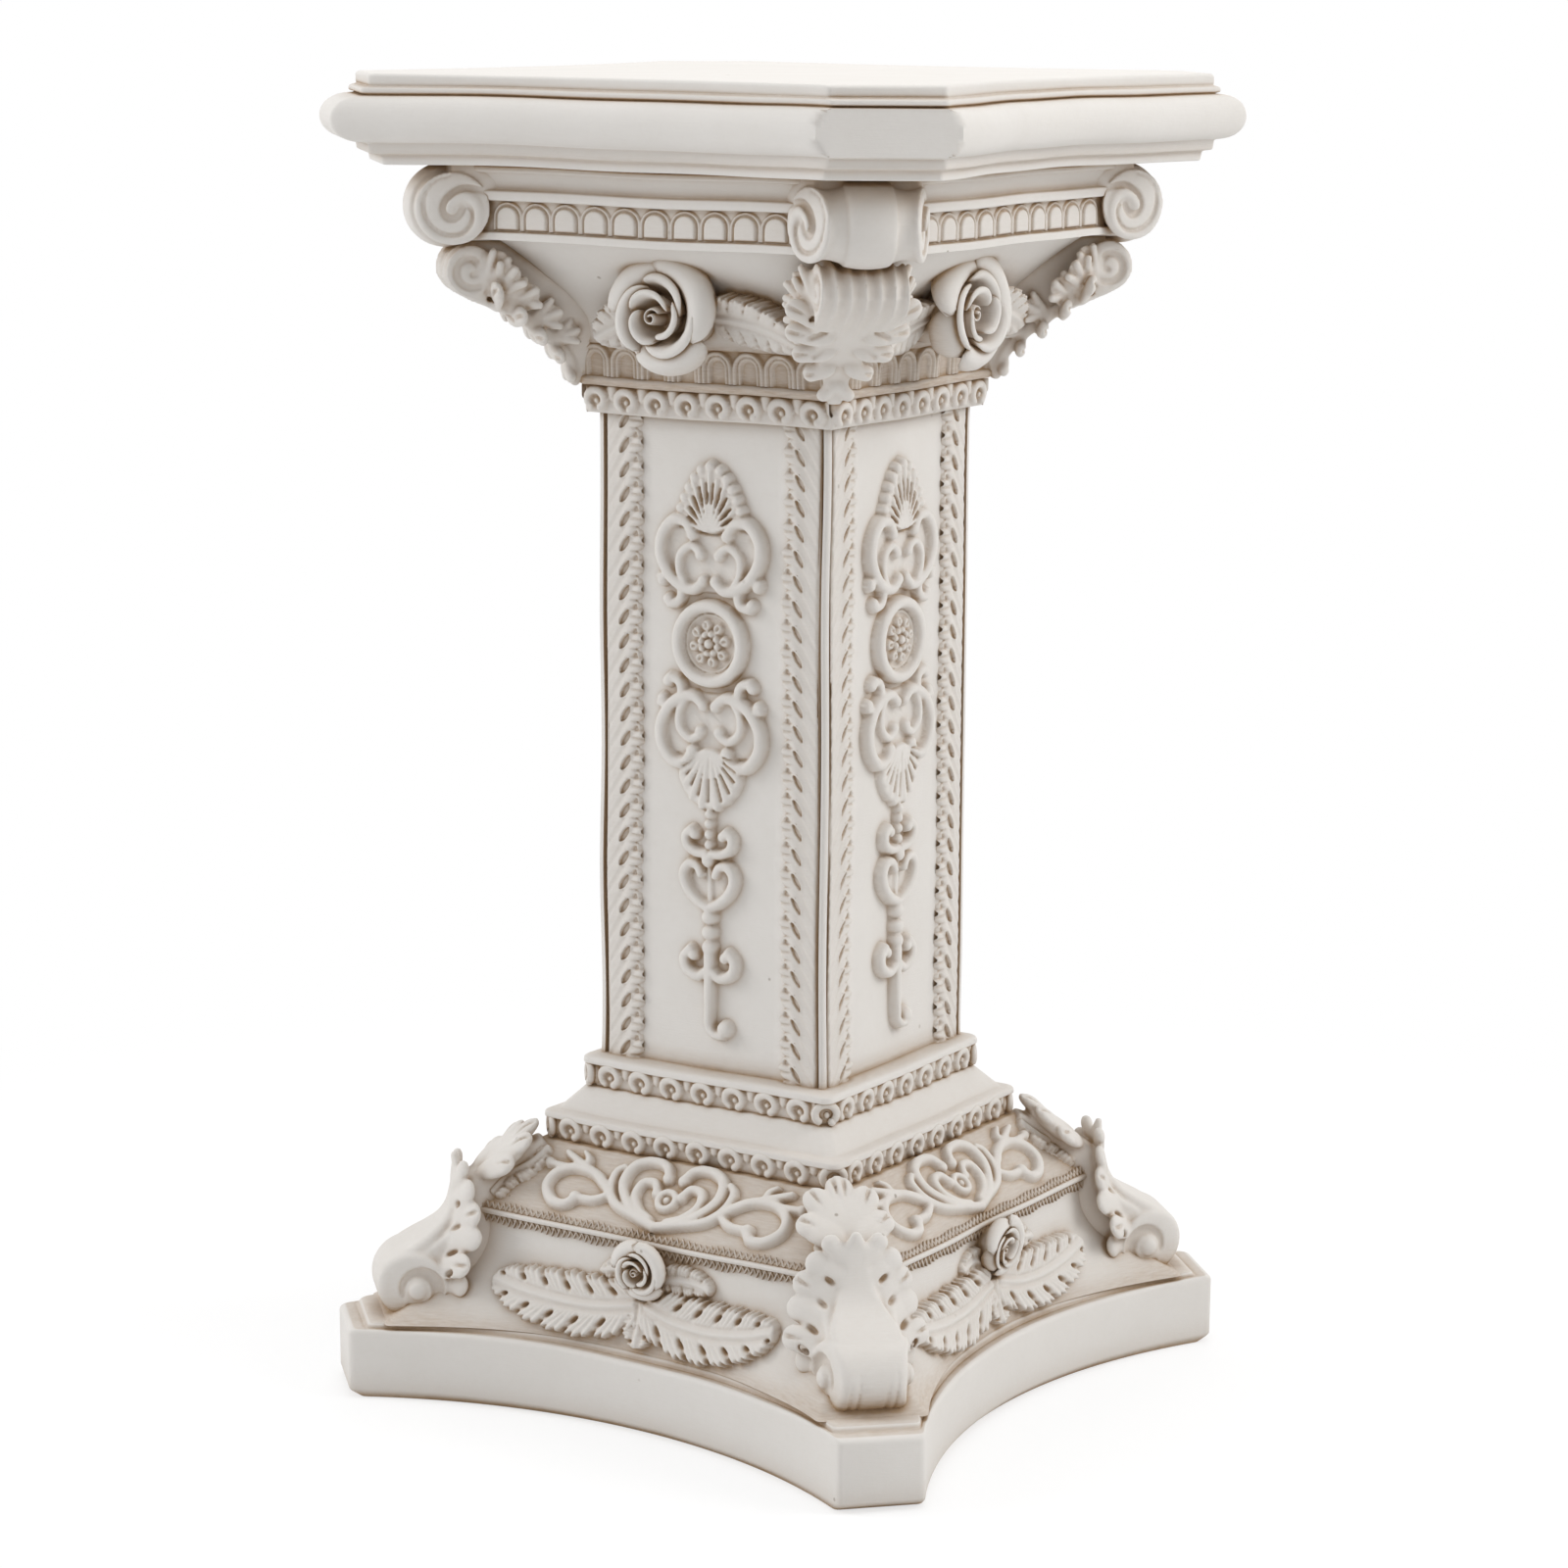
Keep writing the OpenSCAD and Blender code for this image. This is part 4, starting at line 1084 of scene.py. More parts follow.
def lathe(shape, profile, sides, wash):
    """Closed turned solid about the third axis, from (radius, height) pairs that run from top to bottom."""
    turn = 2 * np.pi * np.arange(sides) / sides
    rings = [np.column_stack([r * np.cos(turn), r * np.sin(turn), np.full(sides, h)]) for r, h in profile]
    last = (len(profile) - 1) * sides
    caps = [np.arange(sides)[None], (last + np.arange(sides))[::-1][None]]
    return shape.add(np.concatenate(rings), [net(len(profile), sides, wrap=True)] + caps, wash)


OUTER_PETAL = [(9, -6), (12.5, 0), (15.6, 5.2), (19.4, 8.0), (23.4, 7.4), (26.0, 3.8), (26.8, -1.2)]
MIDDLE_PETAL = [(5, -6), (9.4, -2), (12.6, 3.6), (14.0, 8.2), (15.8, 10.6), (18.2, 10.4)]
INNER_PETAL = [(2.5, -5), (6.0, -1), (8.6, 4.5), (9.2, 9.2), (10.4, 11.8), (12.0, 12.0)]
# profile, azimuth, half span, size, tuck, lift, thickness, sideways shift
PETALS = [
    (OUTER_PETAL, 132, 42, 1.10, 0.05, 0.0, 3.2, 0.5),
    (OUTER_PETAL, 34, 58, 1.06, 0.08, 3.2, 3.6, 0.5),
    (OUTER_PETAL, -72, 46, 1.00, 0.06, -1.0, 2.8, 0.0),
    (OUTER_PETAL, 204, 34, 0.86, 0.05, -4.0, 2.6, 0.0),
    (MIDDLE_PETAL, 176, 62, 1.12, 0.10, -0.5, 2.6, -1.0),
    (MIDDLE_PETAL, 60, 50, 1.06, 0.14, 0.6, 2.6, -0.5),
    (MIDDLE_PETAL, -50, 62, 1.14, 0.16, 0.3, 2.8, 0.5),
    (INNER_PETAL, 96, 66, 1.08, 0.18, 0.0, 2.6, -1.5),
    (INNER_PETAL, -20, 50, 1.16, 0.22, 0.4, 2.6, -1.5),
    (INNER_PETAL, -142, 62, 0.96, 0.18, -0.6, 2.4, -2.5),
]


def rose(across, along):
    """A full rose in (across, up, out) millimetres from its heart, about 27 in radius."""
    shape = Shape()
    u = np.linspace(-1, 1, across)[:, None]
    for profile, azimuth, span, size, tuck, lift, thick, aside in PETALS:
        curve = spline(profile, 8)
        reach = np.linspace(0, 1, along)[None] * (1 - 0.34 * np.abs(u) ** 3)
        index = np.linspace(0, 1, len(curve))
        radius = np.interp(reach, index, curve[:, 0]) * size * (1 + tuck * u)
        height = np.interp(reach, index, curve[:, 1]) + lift * reach + 0.5 * np.sin(2.4 * u + azimuth) * reach
        angle = np.radians(azimuth + span * u + 8 * reach * u)
        middle = np.stack([radius * np.cos(angle) + aside, radius * np.sin(angle) + 0.4 * aside, height], 2)
        rim = np.minimum((1 - np.abs(u)) * 5, (1 - np.linspace(0, 1, along)[None]) * 5)
        body = thick * np.minimum(1.0, rim + 0.3) * (0.75 + 0.25 * reach)
        sheet(shape, middle[::-1], body[::-1], np.clip((7.5 - height[::-1]) / 16, 0, 0.55))
    turn = np.linspace(0, 1, across * 3)[:, None]
    rise = np.linspace(0, 1, 7)[None]
    angle = np.radians(150 - 480 * turn)
    radius = (0.9 + 4.2 * turn) * (1 - 0.16 * rise ** 2)
    x, y = radius * np.cos(angle) - 3.0, radius * np.sin(angle) - 0.6
    bud = np.stack([x, y, -2 + (12.6 - 1.4 * turn) * rise], 2)
    tan = np.broadcast_to(0.3 * (1 - rise), x.shape)
    sheet(shape, bud, 1.5 * np.minimum(1.0, (1 - rise) * 3 + 0.35), tan)
    back = [(1, -0.5), (8, -2.5), (14, -1.0), (18, 1.4), (21, 1.6), (20.5, -2), (17, -7), (14.5, -13),
            (13, -22)]
    lathe(shape, back, 24, 0.3)
    return shape


def capital_roses():
    """The large rose on each side of the bell."""
    def place(p):
        x, up, out = p.T
        return on_side(x - 1.5, 95.5 + out - 0.06 * up, 514.0 + 0.98 * up + 0.05 * out)
    return rose(17, 12).moved(place)


def foot_roses():
    """The small rose on each sweeping panel."""
    scale = 0.53

    def place(p):
        x, up, out = (p * scale).T
        return on_side(x + 1.5, 121.5 + out * 0.98 + up * 0.1, 76.4 + up - 0.1 * out)
    return rose(11, 8).moved(place)


def rose_leaves():
    """The leaves on each side of the capital's rose, standing off the bell."""
    relief = Relief(-52, 68, 492, 530, 0.8)
    relief.leaf([(18, 514), (34, 512.5), (50, 509), (65, 503)], 25, 6, 7.0, 0.5, 0.8)
    relief.leaf([(-18, 512), (-30, 509), (-40, 505.5), (-49, 501)], 24, 5, 6.0, 0.5, 0.8)

    def place(x, v, h):
        t = np.clip((v - Z_BELL) / (Z_BAND - Z_BELL), 0, 1)
        stand = np.where(h > -0.2, 4.5 + 5.0 * np.clip((np.abs(x) - 18) / 40, 0, 1) ** 1.5, 0.0)
        return on_side(x, bell_half(t) + stand + h, v)
    return relief.shape(place, 0.1)


# ---- corner work ----

def unit(vector):
    """The vector at length one."""
    vector = np.asarray(vector, float)
    return vector / np.linalg.norm(vector)


def lobe(clay, root, tip, lift, count, spread, radius, curl):
    """A lobe of a carved leaf: a web of fingers that fan from its root and curl at their tips."""
    root, tip, lift = np.asarray(root, float), np.asarray(tip, float), unit(lift)
    way = tip - root
    length = np.linalg.norm(way)
    way = way / length
    lift = unit(lift - way * (lift @ way))
    across = np.cross(way, lift)
    web = (length * 0.52, length * 0.30, radius * 0.9)
    clay.egg(root + way * length * 0.45, web, 1.5, axes=[way, across, lift])
    for k in range(count):
        place = k - (count - 1) / 2
        turn = math.radians(spread) * place
        reach = (length - radius) * (1.04 - 0.10 * abs(place))
        head = way * math.cos(turn) + across * math.sin(turn)
        bend = across * place * 0.04 * length
        finger = [root + head * reach * 0.1,
                  root + head * reach * 0.55 + lift * radius * 0.35,
                  root + head * reach * 0.85 + bend + lift * curl * 0.6,
                  root + head * reach + bend * 2 + lift * curl]
        clay.rod(finger, [radius * 0.85, radius * 1.1, radius, radius * 0.8], 0.6)


def broad_lobe(clay, root, tip, lift, width, thick=2.6, lines=0):
    """A broad lobe of a carved leaf: a rounded sheet, its tip curled up and cut into by short lines."""
    root, tip = np.asarray(root, float), np.asarray(tip, float)
    way = tip - root
    length = np.linalg.norm(way)
    way = way / length
    lift = unit(unit(lift) - way * (unit(lift) @ way))
    axes = [way, np.cross(way, lift), lift]
    clay.egg(root + way * length * 0.42, (length * 0.62, width, thick), 1.6, axes=axes)
    crest = (length * 0.26, width * 0.9, thick * 0.85)
    clay.egg(root + way * length * 0.80 + lift * thick * 0.3, crest, 1.4, axes=axes)
    for k in range(lines):
        place = 2 * (k + 1) / (lines + 1) - 1
        edge = root + way * length * (1.10 - 0.16 * abs(place))
        edge = edge + axes[1] * width * place * 1.1 + lift * thick * 0.7
        inner = root + way * length * 0.42 + axes[1] * width * place * 0.45 + lift * thick * 1.15
        clay.rod([inner, edge], [0.35, 1.15], 0.6, True)


MIRRORS = [np.array([side, 1, 1]) for side in (-1, 1)]


def pair_of(lobe_kind, clay, root, tip, lift, **sizes):
    """The same lobe on both sides of the corner."""
    for mirror in MIRRORS:
        lobe_kind(clay, np.array(root) * mirror, np.array(tip) * mirror, np.array(lift) * mirror, **sizes)


def pair_of_slits(clay, *slits):
    """Drilled slits on both sides of the corner, each from one point to another."""
    for start, end, radius in slits:
        for mirror in MIRRORS:
            clay.rod([np.array(start) * mirror, np.array(end) * mirror], [radius, radius * 0.6], 0.4, True)


def pair_of_lines(clay, across, line, radius, blend):
    """Lines cut in both side faces, along (out, up) points."""
    line = spline(line, 5)
    for side in (-1, 1):
        clay.rod(np.column_stack([np.full(len(line), side * across), line]), radius, blend, True)


def polar(centre, turns, reaches):
    """(out, up) points round a centre at the angles and distances given."""
    turn = np.radians(turns)
    return np.column_stack([centre[0] + reaches * np.cos(turn), centre[1] + reaches * np.sin(turn)])


def corner_scrolls():
    """The volute of the capital: a cushion between two flared faces that carry a double spiral."""
    clay = Clay((-37, 118, 538), (37, 183, 582.5), 0.8)
    area, (w, r, z) = clay.window()
    slant = math.radians(19.4)
    splay = math.tan(slant)
    wide = np.abs(w)
    face_half, face_out, face_up = 25.2, 159.9, 559.8
    neck = 10.8
    edge = face_half + (face_out - r) * splay
    s = np.clip((wide - neck) / np.maximum(edge - neck, 1), 0, 1)
    cushion = soft_max(np.hypot(r - 159.4, z - 560.2) - (19.2 - 0.012 * w**2), wide - 10.9, 2.2)
    rim = np.hypot(r - (158.6 + 1.0 * s), z - 560.0) - (16.6 - 1.7 * np.sin(np.pi * s))
    face = (wide - edge) * math.cos(slant)
    back = np.maximum(np.maximum(r - 160, 566 - z), z - 581)
    core = np.maximum(np.maximum(r - 156, wide - 19), np.maximum(545 - z, z - 581))
    clay.add(area, cushion, 0.3)
    clay.add(area, soft_max(rim, face, 1.0), 0.3)
    clay.add(area, soft_max(back, face + 1.6, 1.0), 1.0)
    clay.add(area, core, 1.0)
    # spiral lines as (towards the side's middle, up) from the middle of the face
    fine = [(-1, 15.0), (-7.5, 12.8), (-11.9, 7.3), (-12.9, 1), (-11.0, -5.4), (-6.0, -10.2), (0, -11.8),
            (5.5, -10.6), (9.2, -6), (9.6, -1.4), (7.4, 1)]
    deep = [(17, 7.6), (10.5, 9.0), (5.5, 9.3), (1.2, 7.4), (-2.6, 4), (-4.0, -0.4), (-1.9, -3.9),
            (1.2, -4.5), (3.6, -2.6), (5.2, 0.4)]
    hook = [(-14.6, 2), (-13.2, -5), (-8.5, -11.4), (-0.5, -14.0), (7.5, -12.4), (12.0, -7.6), (13.0, -1.6),
            (11.2, 3.6), (7, 5.8), (3, 4.8), (0, 2.0), (-1.0, -1.2)]

    def on_face(line, sunk=0.0):
        line = spline(line, 5)
        out = face_out - line[:, 0] * math.cos(slant)
        across = face_half + (face_out - out) * splay - sunk
        return np.column_stack([across, out, face_up + line[:, 1]])

    for mirror in MIRRORS:
        clay.rod(on_face(hook, 1.4) * mirror, [1.5, 1.7, 2.4, 2.9, 2.7], 0.9)
        clay.rod(on_face(deep) * mirror, [1.2, 1.6, 1.6, 1.3], 0.7, True)
        clay.rod(on_face(fine) * mirror, [0.6, 0.9, 0.9, 0.8], 0.4, True)
    return clay.shape(from_corner, wash=0.06)


def corner_brackets():
    """The fluted leaf that rolls out under each volute and tapers to the corner of the bead course."""
    clay = Clay((-34, 90, 472), (34, 167, 546), 0.85)
    area, (w, r, z) = clay.window()
    centre, half = (150.4, 531.6), 19.4
    flutes = 6
    stem = [(159.4, 529), (156, 524.2), (149, 520.3), (138, 515.8), (129, 511.4), (120, 505.4),
            (111.5, 498.6), (105.2, 491.5), (102.2, 485.0), (100.6, 479.4)]
    flute = np.abs(np.sin(np.pi * flutes * w / (2 * half)))
    drum = np.hypot(r - centre[0], z - centre[1]) - (12.3 - 2.4 * flute)
    clay.add(area, soft_max(drum, np.abs(w) - half, 1.6), 0.3)
    clay.ribbon(spline(stem, 4), [half, 19.6, 18.6, 17.0, 14.6, 12.0, 9.4, 6.0, 3.4], [4.6, 6.0, 6.0, 5.0],
                flutes, 2.2, 1.8)
    outline = [(150, 545), (150, 520)] + stem[3:] + [(90, 479), (90, 545)]
    body = outline_distance(r[0], z[0], np.array(outline))[None]
    narrow = np.interp(z, [478, 490, 500, 510, 522, 546], [2.5, 4.5, 8, 12, 14, 15])
    clay.add(area, soft_max(body, np.abs(w) - narrow, 2.0), 1.0)
    spiral = polar(centre, np.linspace(-150, 260, 24), np.linspace(9.0, 2.2, 24))
    pair_of_lines(clay, half + 0.2, spiral, [1.0, 1.6, 1.4, 1.0], 0.7)
    # broad lobes up the edge of the stem
    for root, tip, width, cuts in (
            ((11, 139, 516), (29, 139, 524), 5.6, 1), ((10, 131, 509), (27, 127, 512), 5.0, 1),
            ((7, 121, 502), (22, 117, 501), 4.6, 1), ((4, 112, 494), (15, 108, 491), 4.0, 1),
            ((1, 105, 486), (7, 102, 480), 3.0, 0)):
        pair_of(broad_lobe, clay, root, tip, (0.3, 1, -0.2), width=width, lines=cuts)
    # pointed lobes behind the roll, that rise towards the bell
    for root, tip, fingers, spread, radius, curl in (
            ((15, 146, 520), (23, 136, 541), 2, 15, 2.2, 2.0),
            ((15, 141, 518), (27, 130, 534), 3, 15, 2.2, 2.0),
            ((14, 134, 514), (26, 120, 524), 3, 16, 2.3, 1.5),
            ((11, 124, 507), (19, 108, 513), 3, 17, 2.1, 1.2),
            ((8, 113, 499), (12, 99, 504), 3, 17, 1.9, 1.0)):
        pair_of(lobe, clay, root, tip, (1, 0.1, 0.1), count=fingers, spread=spread, radius=radius, curl=curl)
    pair_of_slits(clay, ((16, 143, 519), (21, 138, 517.5), 1.5), ((12, 134.5, 511.5), (18, 131, 508.5), 1.7),
                  ((9.5, 124.5, 503), (14, 121, 499.5), 1.5), ((6, 115.5, 495), (9.5, 113, 491.5), 1.3),
                  ((2.2, 108.5, 487.5), (4.5, 106, 484), 1.0), ((17, 139, 523), (20, 132, 527), 1.4),
                  ((15, 130, 517), (19, 122, 519), 1.4))
    return clay.shape(from_corner, wash=0.1)


ROLL = (182.4, 52.6)
ROLL_RADIUS = 16.4


def roll_side(r):
    """Half width of the corner roll at r from the axis; its straight sides flare backwards."""
    return 14.4 + 0.26 * (198.8 - r)


def on_roll(across, turns):
    """Points on the skin of the corner roll at that distance across, round its middle line."""
    points = []
    for a in np.radians(turns):
        reaches = np.linspace(ROLL_RADIUS, 2.0, 60)
        off = reaches[np.argmax(roll_side(ROLL[0] + reaches * math.cos(a)) >= abs(across))]
        points.append((across, ROLL[0] + off * math.cos(a), ROLL[1] + off * math.sin(a)))
    return np.array(points)


def foot_scrolls():
    """The leaf that runs down each corner of the foot and rolls up on the plinth."""
    clay = Clay((-38, 106, 35), (38, 201, 128), 0.9)
    area, (w, r, z) = clay.window()
    wide = np.abs(w)
    off = np.hypot(r - ROLL[0], z - ROLL[1])
    clay.add(area, soft_max(off - ROLL_RADIUS, 0.8 * (wide - roll_side(r)), 3.2), 0.3)
    stem = [(189.5, 61.0), (185.5, 65.6), (179, 69.6), (172.2, 73.6), (166.0, 78.4), (161.9, 84.5),
            (160.0, 91.5), (159.2, 98.5), (159.0, 105), (160.0, 110.6)]
    clay.ribbon(spline(stem, 4), [14.8, 16.0, 16.6, 16.0, 14.6, 12.8, 10.8, 9.0, 7.6, 6.8, 6.4, 6.0, 3.0],
                [6.4, 6.4, 6.0, 5.0, 3.6], 0, 0.0, 4.0)
    sole = np.maximum(np.hypot(r - 178, z - 50) - 16.0, np.maximum(z - 44, wide - 15))
    clay.add(area, sole, 0.8)
    outline = [(184, 66), (176, 70), (167, 75.5), (161, 82), (158.4, 90), (156, 100), (150, 102.5),
               (141, 105), (133, 110), (124, 115.5), (118, 118), (112, 112), (130, 60), (150, 36), (176, 36)]
    body = outline_distance(r[0], z[0], np.array(outline))[None]
    narrow = np.interp(z, [36, 60, 72, 84, 92, 100, 106, 112, 120], [17.5, 18, 17, 15.5, 13.5, 11, 10, 9, 6])
    clay.add(area, soft_max(body, wide - narrow, 3.0), 1.0)
    # broad lobes beside the flap, the stem and the roll
    for root, tip, lift, width, cuts in (
            ((5, 159, 99), (13, 156, 108.5), (0.2, 1, 0.2), 4.8, 0),
            ((8, 160, 90), (20, 154, 99.5), (0.3, 1, 0.2), 6.4, 0),
            ((10, 161, 80), (25.5, 152, 89.5), (0.4, 1, 0.2), 6.8, 1),
            ((13, 167, 70), (28, 152, 78), (0.6, 0.8, 0.3), 6.8, 0),
            ((15, 170, 62), (32, 158, 65), (0.7, 0.7, 0.4), 6.6, 1),
            ((15, 168, 54), (26, 158, 53), (0.9, 0.5, 0.1), 6.2, 0)):
        pair_of(broad_lobe, clay, root, tip, lift, width=width, lines=cuts)
    # the palmette on the hip: a leaf of five lobes on an egg
    tilted = [(1, 0, 0), unit((0, -0.80, 0.60)), unit((0, 0.60, 0.80))]
    clay.egg((0, 135, 109.5), (16.5, 15, 3.6), 1.5, axes=tilted)
    broad_lobe(clay, (0, 142, 106), (0, 120, 124), (0, 0.6, 0.8), width=7.4, thick=3.2, lines=2)
    for root, tip, lift, width in (((4, 142, 106.5), (13.5, 125, 120), (0.2, 0.6, 0.8), 7.0),
                                   ((6, 147, 104), (20.5, 135, 110), (0.3, 0.6, 0.8), 6.6)):
        pair_of(broad_lobe, clay, root, tip, lift, width=width, thick=3.0, lines=1)
    # lines round the roll, and a ring and a boss on each of its side faces
    ring_out, ring_up = 179.5, 51.0
    for side in (-1, 1):
        for across in (6.6, 10.6):
            clay.rod(on_roll(side * across, np.linspace(-88, 18, 14)), [0.5, 0.75, 0.7, 0.3], 0.4, True)
        ring = []
        for a, reach in zip(np.radians(np.linspace(-20, 300, 20)), np.linspace(8.0, 9.4, 20)):
            out = ring_out + reach * math.cos(a)
            ring.append((side * (roll_side(out) - 0.1), out, ring_up + reach * math.sin(a)))
        clay.rod(np.array(ring), [1.0, 1.8, 2.9, 3.2, 2.2, 1.2], 0.7, True)
        clay.egg((side * 19.2, 179.8, ring_up), (3.2, 4.8, 5.0), 0.5)
    # almond eyes drilled between the lobes
    for side in (-1, 1):
        axes = [(0.8 * side, 0, 0.6), (-0.6 * side, 0, 0.8), (0, 1, 0)]
        for across, out, up, size in ((12.5, 161.5, 90, 3.2), (17, 163, 80.5, 3.8), (22, 165, 69.5, 4.2),
                                      (25, 165, 60, 3.2)):
            clay.egg((side * across, out, up), (size, 1.5, 3.8), 0.6, True, axes)
    shape = clay.shape(from_corner)
    shape.washes[0] = 0.08 + 0.8 * bump(shape.points[0][:, 2], 38, 8)
    return shape


# ---- material: matte cast stone, washed with tan and wiped back, the tan in its hollows partly painted shade ----

def socket_of(made, key):
    """A node's input by its name, or by its number when the key is i and the number."""
    if key[0] == "i" and key[1:].isdigit():
        return made.inputs[int(key[1:])]
    return made.inputs[key.replace("_", " ")]


def nodes_of(owner):
    """An emptied node tree, and a function that adds a node with its settings and inputs."""
    owner.use_nodes = True
    tree = owner.node_tree
    tree.nodes.clear()

    def node(kind, settings=None, **inputs):
        made = tree.nodes.new(kind)
        for key, value in (settings or {}).items():
            setattr(made, key, value)
        for key, value in inputs.items():
            socket = socket_of(made, key)
            if isinstance(value, bpy.types.NodeSocket):
                tree.links.new(value, socket)
            else:
                socket.default_value = value
        return made
    return tree, node


def grey(level):
    """An opaque grey."""
    return (level, level, level, 1)


def ramp(node, factor, stops):
    """Grey levels that run between (position, level) stops."""
    made = node("ShaderNodeValToRGB", Fac=factor)
    elements = made.color_ramp.elements
    for end in (0, -1):
        elements[end].position, elements[end].color = stops[end][0], grey(stops[end][1])
    for position, level in stops[1:-1]:
        elements.new(position).color = grey(level)
    return made.outputs["Color"]


RGBA = {"data_type": "RGBA"}
STONE_DULL, STONE_PALE = (0.735, 0.705, 0.665, 1), (0.80, 0.775, 0.745, 1)
# Tans of the wash; where occlusion lays them in hollows and grooves they are also painted shade.
TAN_DEEP, TAN_PALE = (0.30, 0.185, 0.095, 1), (0.49, 0.355, 0.225, 1)
PIT = (0.22, 0.16, 0.11, 1)


def stone_material():
    """Pale stone, tan where it is washed, and in its hollows as wash and painted shade, with fine grain and a
    few pinholes.
    """
    material = bpy.data.materials.new("washed_stone")
    tree, node = nodes_of(material)
    place = node("ShaderNodeTexCoord").outputs["Object"]
    # Occlusion over 20 mm and 3.5 mm: where it is low, tan goes on as painted shade along with the real wash.
    wide = node("ShaderNodeAmbientOcclusion", {"samples": 6}, Distance=0.020).outputs["AO"]
    tight = node("ShaderNodeAmbientOcclusion", {"samples": 6}, Distance=0.0035).outputs["AO"]
    wash = node("ShaderNodeAttribute", {"attribute_name": "wash"}).outputs["Fac"]
    blotch = node("ShaderNodeTexNoise", Vector=place, Scale=28.0, Detail=4.0, Roughness=0.6).outputs["Fac"]
    speck = node("ShaderNodeTexNoise", Vector=place, Scale=320.0, Detail=3.0, Roughness=0.65).outputs["Fac"]
    stretch = node("ShaderNodeMapping", Vector=place, Scale=(1.0, 1.0, 9.0)).outputs["Vector"]
    brush = node("ShaderNodeTexNoise", Vector=stretch, Scale=160.0, Detail=3.0, Roughness=0.6).outputs["Fac"]

    def maths(kind, a, b=0.0, clamp=False):
        made = node("ShaderNodeMath", {"operation": kind, "use_clamp": clamp}, i0=a, i1=b)
        return made.outputs[0]

    # Tan from occlusion: painted shade in hollows and grooves, together with the wash that settles there.
    hollow = ramp(node, wide, [(0.30, 1.0), (0.62, 0.36), (0.88, 0.0)])
    groove_wash_and_shade = ramp(node, tight, [(0.25, 1.0), (0.60, 0.5), (0.93, 0.0)])
    wash_and_shade = maths("ADD", maths("MULTIPLY", hollow, 0.56), maths("MULTIPLY", groove_wash_and_shade, 0.85))
    patchy = maths("ADD", maths("MULTIPLY", blotch, 1.5), -0.25, True)
    wash_and_shade = maths("MULTIPLY", wash_and_shade, maths("ADD", maths("MULTIPLY", patchy, 0.7), 0.55))
    painted = maths("MULTIPLY", wash, maths("ADD", maths("MULTIPLY", brush, 0.9), 0.25))
    wash_and_shade = maths("ADD", wash_and_shade, maths("MULTIPLY", painted, 0.85), True)
    wash_and_shade = maths("ADD", wash_and_shade, maths("MULTIPLY", maths("SUBTRACT", speck, 0.5), 0.10), True)

    pale = node("ShaderNodeMix", RGBA, Factor=blotch, A=STONE_DULL, B=STONE_PALE).outputs["Result"]
    tan = node("ShaderNodeMix", RGBA, Factor=speck, A=TAN_DEEP, B=TAN_PALE).outputs["Result"]
    # Pale stone mixed with tan; the tan stands for the wash and for painted shade in the hollows.
    colour = node("ShaderNodeMix", RGBA, Factor=wash_and_shade, A=pale, B=tan).outputs["Result"]

    cells = node("ShaderNodeTexVoronoi", Vector=place, Scale=62.0).outputs["Distance"]
    pin = ramp(node, cells, [(0.045, 1.0), (0.075, 0.0)])
    patches = node("ShaderNodeTexNoise", Vector=place, Scale=17.0).outputs["Fac"]
    rare = ramp(node, patches, [(0.56, 0.0), (0.62, 1.0)])
    pinhole = maths("MULTIPLY", pin, rare)
    deep = maths("MULTIPLY", pinhole, 0.6)
    pitted = node("ShaderNodeMix", RGBA, Factor=deep, A=colour, B=PIT).outputs["Result"]

    grain = maths("ADD", maths("MULTIPLY", brush, 0.5), maths("MULTIPLY", speck, 0.35))
    grain = maths("SUBTRACT", grain, maths("MULTIPLY", pinhole, 1.2))
    relief = node("ShaderNodeBump", Height=grain, Strength=0.22, Distance=0.0008).outputs["Normal"]
    rough = maths("ADD", maths("MULTIPLY", blotch, 0.16), 0.70)
    shader = node("ShaderNodeBsdfPrincipled", Base_Color=pitted, Roughness=rough, Normal=relief)
    shader.inputs["Specular IOR Level"].default_value = 0.35
    tree.links.new(shader.outputs[0], node("ShaderNodeOutputMaterial").inputs["Surface"])
    return material


def seen_directly(node):
    """One for rays straight from the camera, in mirrors and through glass."""
    path = node("ShaderNodeLightPath")
    first = node("ShaderNodeMath", {"operation": "MAXIMUM"}, i0=path.outputs["Is Camera Ray"],
                 i1=path.outputs["Is Glossy Ray"])
    both = node("ShaderNodeMath", {"operation": "MAXIMUM"}, i0=first.outputs[0],
                i1=path.outputs["Is Transmission Ray"])
    return both.outputs[0]


def floor_material():
    """Pale floor: near white where it is looked at, still taking the object's shadow."""
    material = bpy.data.materials.new("pale_floor")
    tree, node = nodes_of(material)
    matt = node("ShaderNodeBsdfDiffuse", Color=grey(0.80))
    dim = node("ShaderNodeBsdfDiffuse", Color=grey(0.34))
    glow = node("ShaderNodeEmission", Color=grey(1), Strength=0.68)
    close = node("ShaderNodeAddShader", i0=dim.outputs[0], i1=glow.outputs[0])
    white = node("ShaderNodeEmission", Color=grey(1), Strength=1.0)
    place = node("ShaderNodeTexCoord").outputs["Object"]
    away = node("ShaderNodeVectorMath", {"operation": "LENGTH"}, i0=place).outputs["Value"]
    far = node("ShaderNodeMapRange", {"interpolation_type": "SMOOTHSTEP"}, Value=away)
    far.inputs["From Min"].default_value = 0.18
    far.inputs["From Max"].default_value = 0.75
    lit = node("ShaderNodeMixShader", i0=far.outputs["Result"], i1=close.outputs[0], i2=white.outputs[0])
    chosen = node("ShaderNodeMixShader", i0=seen_directly(node), i1=matt.outputs[0], i2=lit.outputs[0])
    tree.links.new(chosen.outputs[0], node("ShaderNodeOutputMaterial").inputs["Surface"])
    return material


# ---- stage, lamps and camera ----

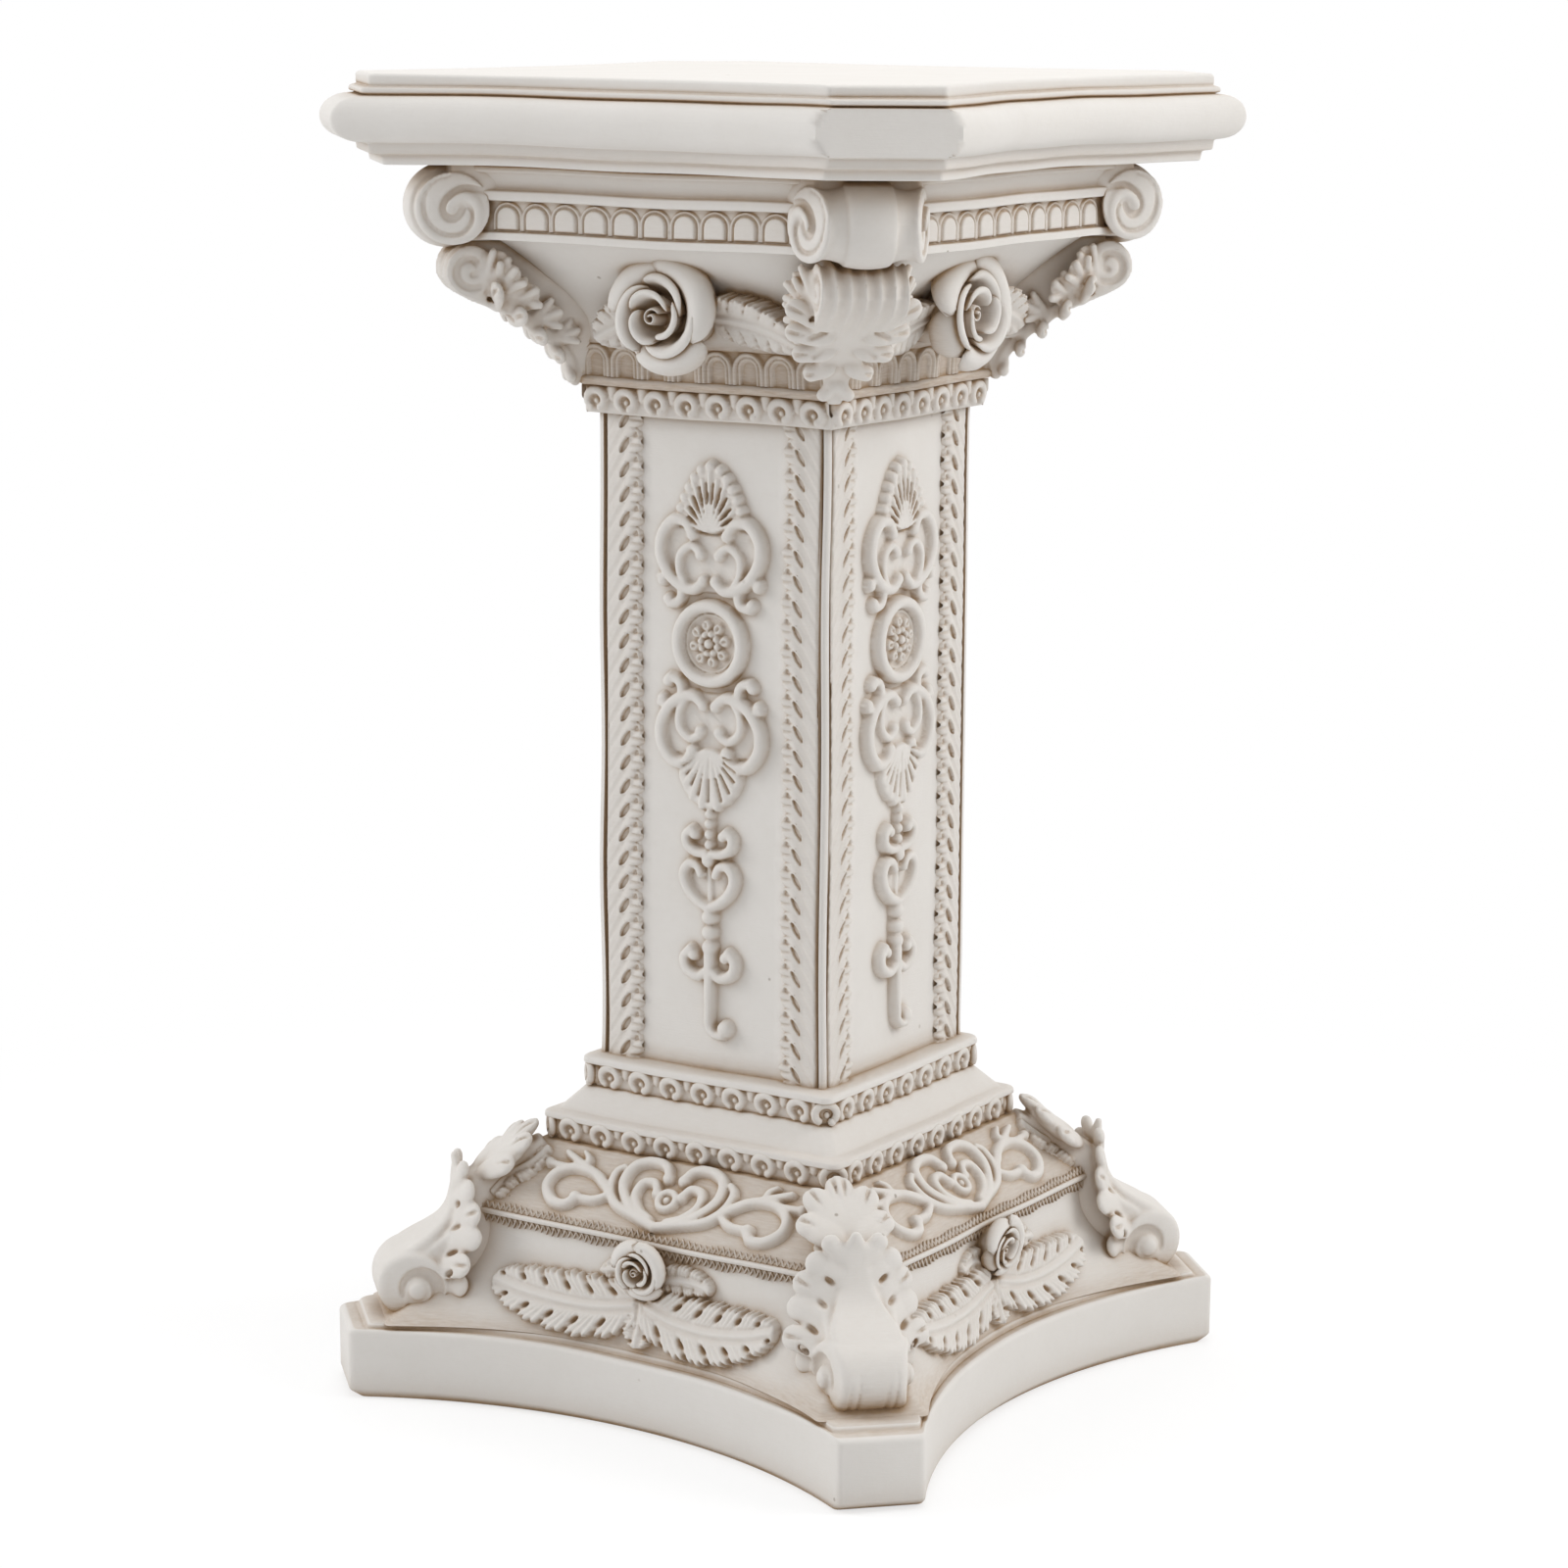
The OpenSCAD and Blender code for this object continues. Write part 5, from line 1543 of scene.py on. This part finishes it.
def lay_floor():
    """A wide round floor, a little below the plinth."""
    ring = 96
    angle = 2 * np.pi * np.arange(ring) / ring
    reach = 14000.0
    points = np.column_stack([reach * np.cos(angle), reach * np.sin(angle), np.full(ring, -0.4)])
    floor_mesh = mesh_of("floor", Shape().add(points, np.arange(ring)[None]), MM)
    floor = bpy.data.objects.new("floor", floor_mesh)
    bpy.context.collection.objects.link(floor)
    floor_mesh.materials.append(floor_material())


def light_world(strength):
    """Even light from all round, seen as plain white."""
    world = bpy.data.worlds.new("studio")
    bpy.context.scene.world = world
    tree, node = nodes_of(world)
    air = node("ShaderNodeBackground", Color=grey(1), Strength=strength)
    white = node("ShaderNodeBackground", Color=grey(1), Strength=1.0)
    chosen = node("ShaderNodeMixShader", i0=seen_directly(node), i1=air.outputs[0], i2=white.outputs[0])
    tree.links.new(chosen.outputs[0], node("ShaderNodeOutputWorld").inputs["Surface"])


def towards(azimuth, elevation):
    """Unit vector from the pedestal; azimuth 0 is in front of the -Y side, both in degrees."""
    a, e = math.radians(azimuth), math.radians(elevation)
    return Vector((math.sin(a) * math.cos(e), -math.cos(a) * math.cos(e), math.sin(e)))


def soft_lamp(name, azimuth, elevation, distance, size, power, colour):
    """A square softbox that faces the middle of the pedestal."""
    away = towards(azimuth, elevation)
    aim = Vector((0, 0, HEIGHT / 2)) * MM
    lamp = bpy.data.lights.new(name, "AREA")
    lamp.size = size * MM
    lamp.energy = power
    lamp.color = colour
    box = bpy.data.objects.new(name, lamp)
    box.location = aim + away * distance * MM
    box.rotation_mode = "QUATERNION"
    box.rotation_quaternion = away.to_track_quat("Z", "Y")
    bpy.context.collection.objects.link(box)


def set_camera():
    """Camera at the eye point the object is pictured from, without shift or depth of field."""
    azimuth, pitch, roll = 32.86, 11.23, 0.35
    camera = bpy.data.cameras.new("camera")
    camera.sensor_width = 36.0
    camera.lens = 95.79
    camera.clip_start, camera.clip_end = 0.05, 100.0
    eye = bpy.data.objects.new("camera", camera)
    back = towards(azimuth, pitch)
    level = back.to_track_quat("Z", "Y")
    eye.rotation_mode = "QUATERNION"
    eye.rotation_quaternion = level @ Matrix.Rotation(math.radians(roll), 3, "Z").to_quaternion()
    eye.location = Vector((1058.24, -1638.44, 672.54)) * MM
    bpy.context.collection.objects.link(eye)
    bpy.context.scene.camera = eye


# ---- assembly ----

set_camera()
light_world(0.57)
soft_lamp("key", 114, 34, 2600, 1300, 26, (1.0, 0.99, 0.975))
soft_lamp("side", -58, 26, 2800, 1300, 27, (0.985, 0.99, 1.0))
soft_lamp("top", 20, 84, 2200, 1400, 9, (1.0, 1.0, 1.0))
soft_lamp("back", 205, 35, 2800, 1500, 10, (1.0, 0.99, 0.98))
lay_floor()

stone = stone_material()
SHARP_ANGLE = 50
for name, build in (("table", table), ("capital_body", capital), ("shaft_body", shaft), ("foot_body", foot),
                    ("plinth", plinth)):
    make_piece(name, build(), SHARP_ANGLE)
# made for one side or corner and repeated, with the share of its triangles that each keeps
for name, build, kept in (
        ("bead_courses", bead_courses, 1), ("egg_tiles", egg_tiles, 0.6), ("arches", arches, 0.6),
        ("leaf_bands", leaf_band, 0.25), ("cartouches", cartouche, 0.6), ("arabesques", arabesque, 0.9),
        ("rope_courses", rope, 1), ("sprays", spray, 0.8), ("capital_roses", capital_roses, 1),
        ("foot_roses", foot_roses, 1), ("rose_leaves", rose_leaves, 0.95),
        ("corner_scrolls", corner_scrolls, 0.3), ("corner_brackets", corner_brackets, 0.38),
        ("foot_scrolls", foot_scrolls, 0.36)):
    part = thinned(build(), kept) if kept < 1 else build()
    make_piece(name, part.quartered())
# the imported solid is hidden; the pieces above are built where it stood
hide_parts("pedestal")

bpy.context.scene.view_settings.view_transform = "Standard"
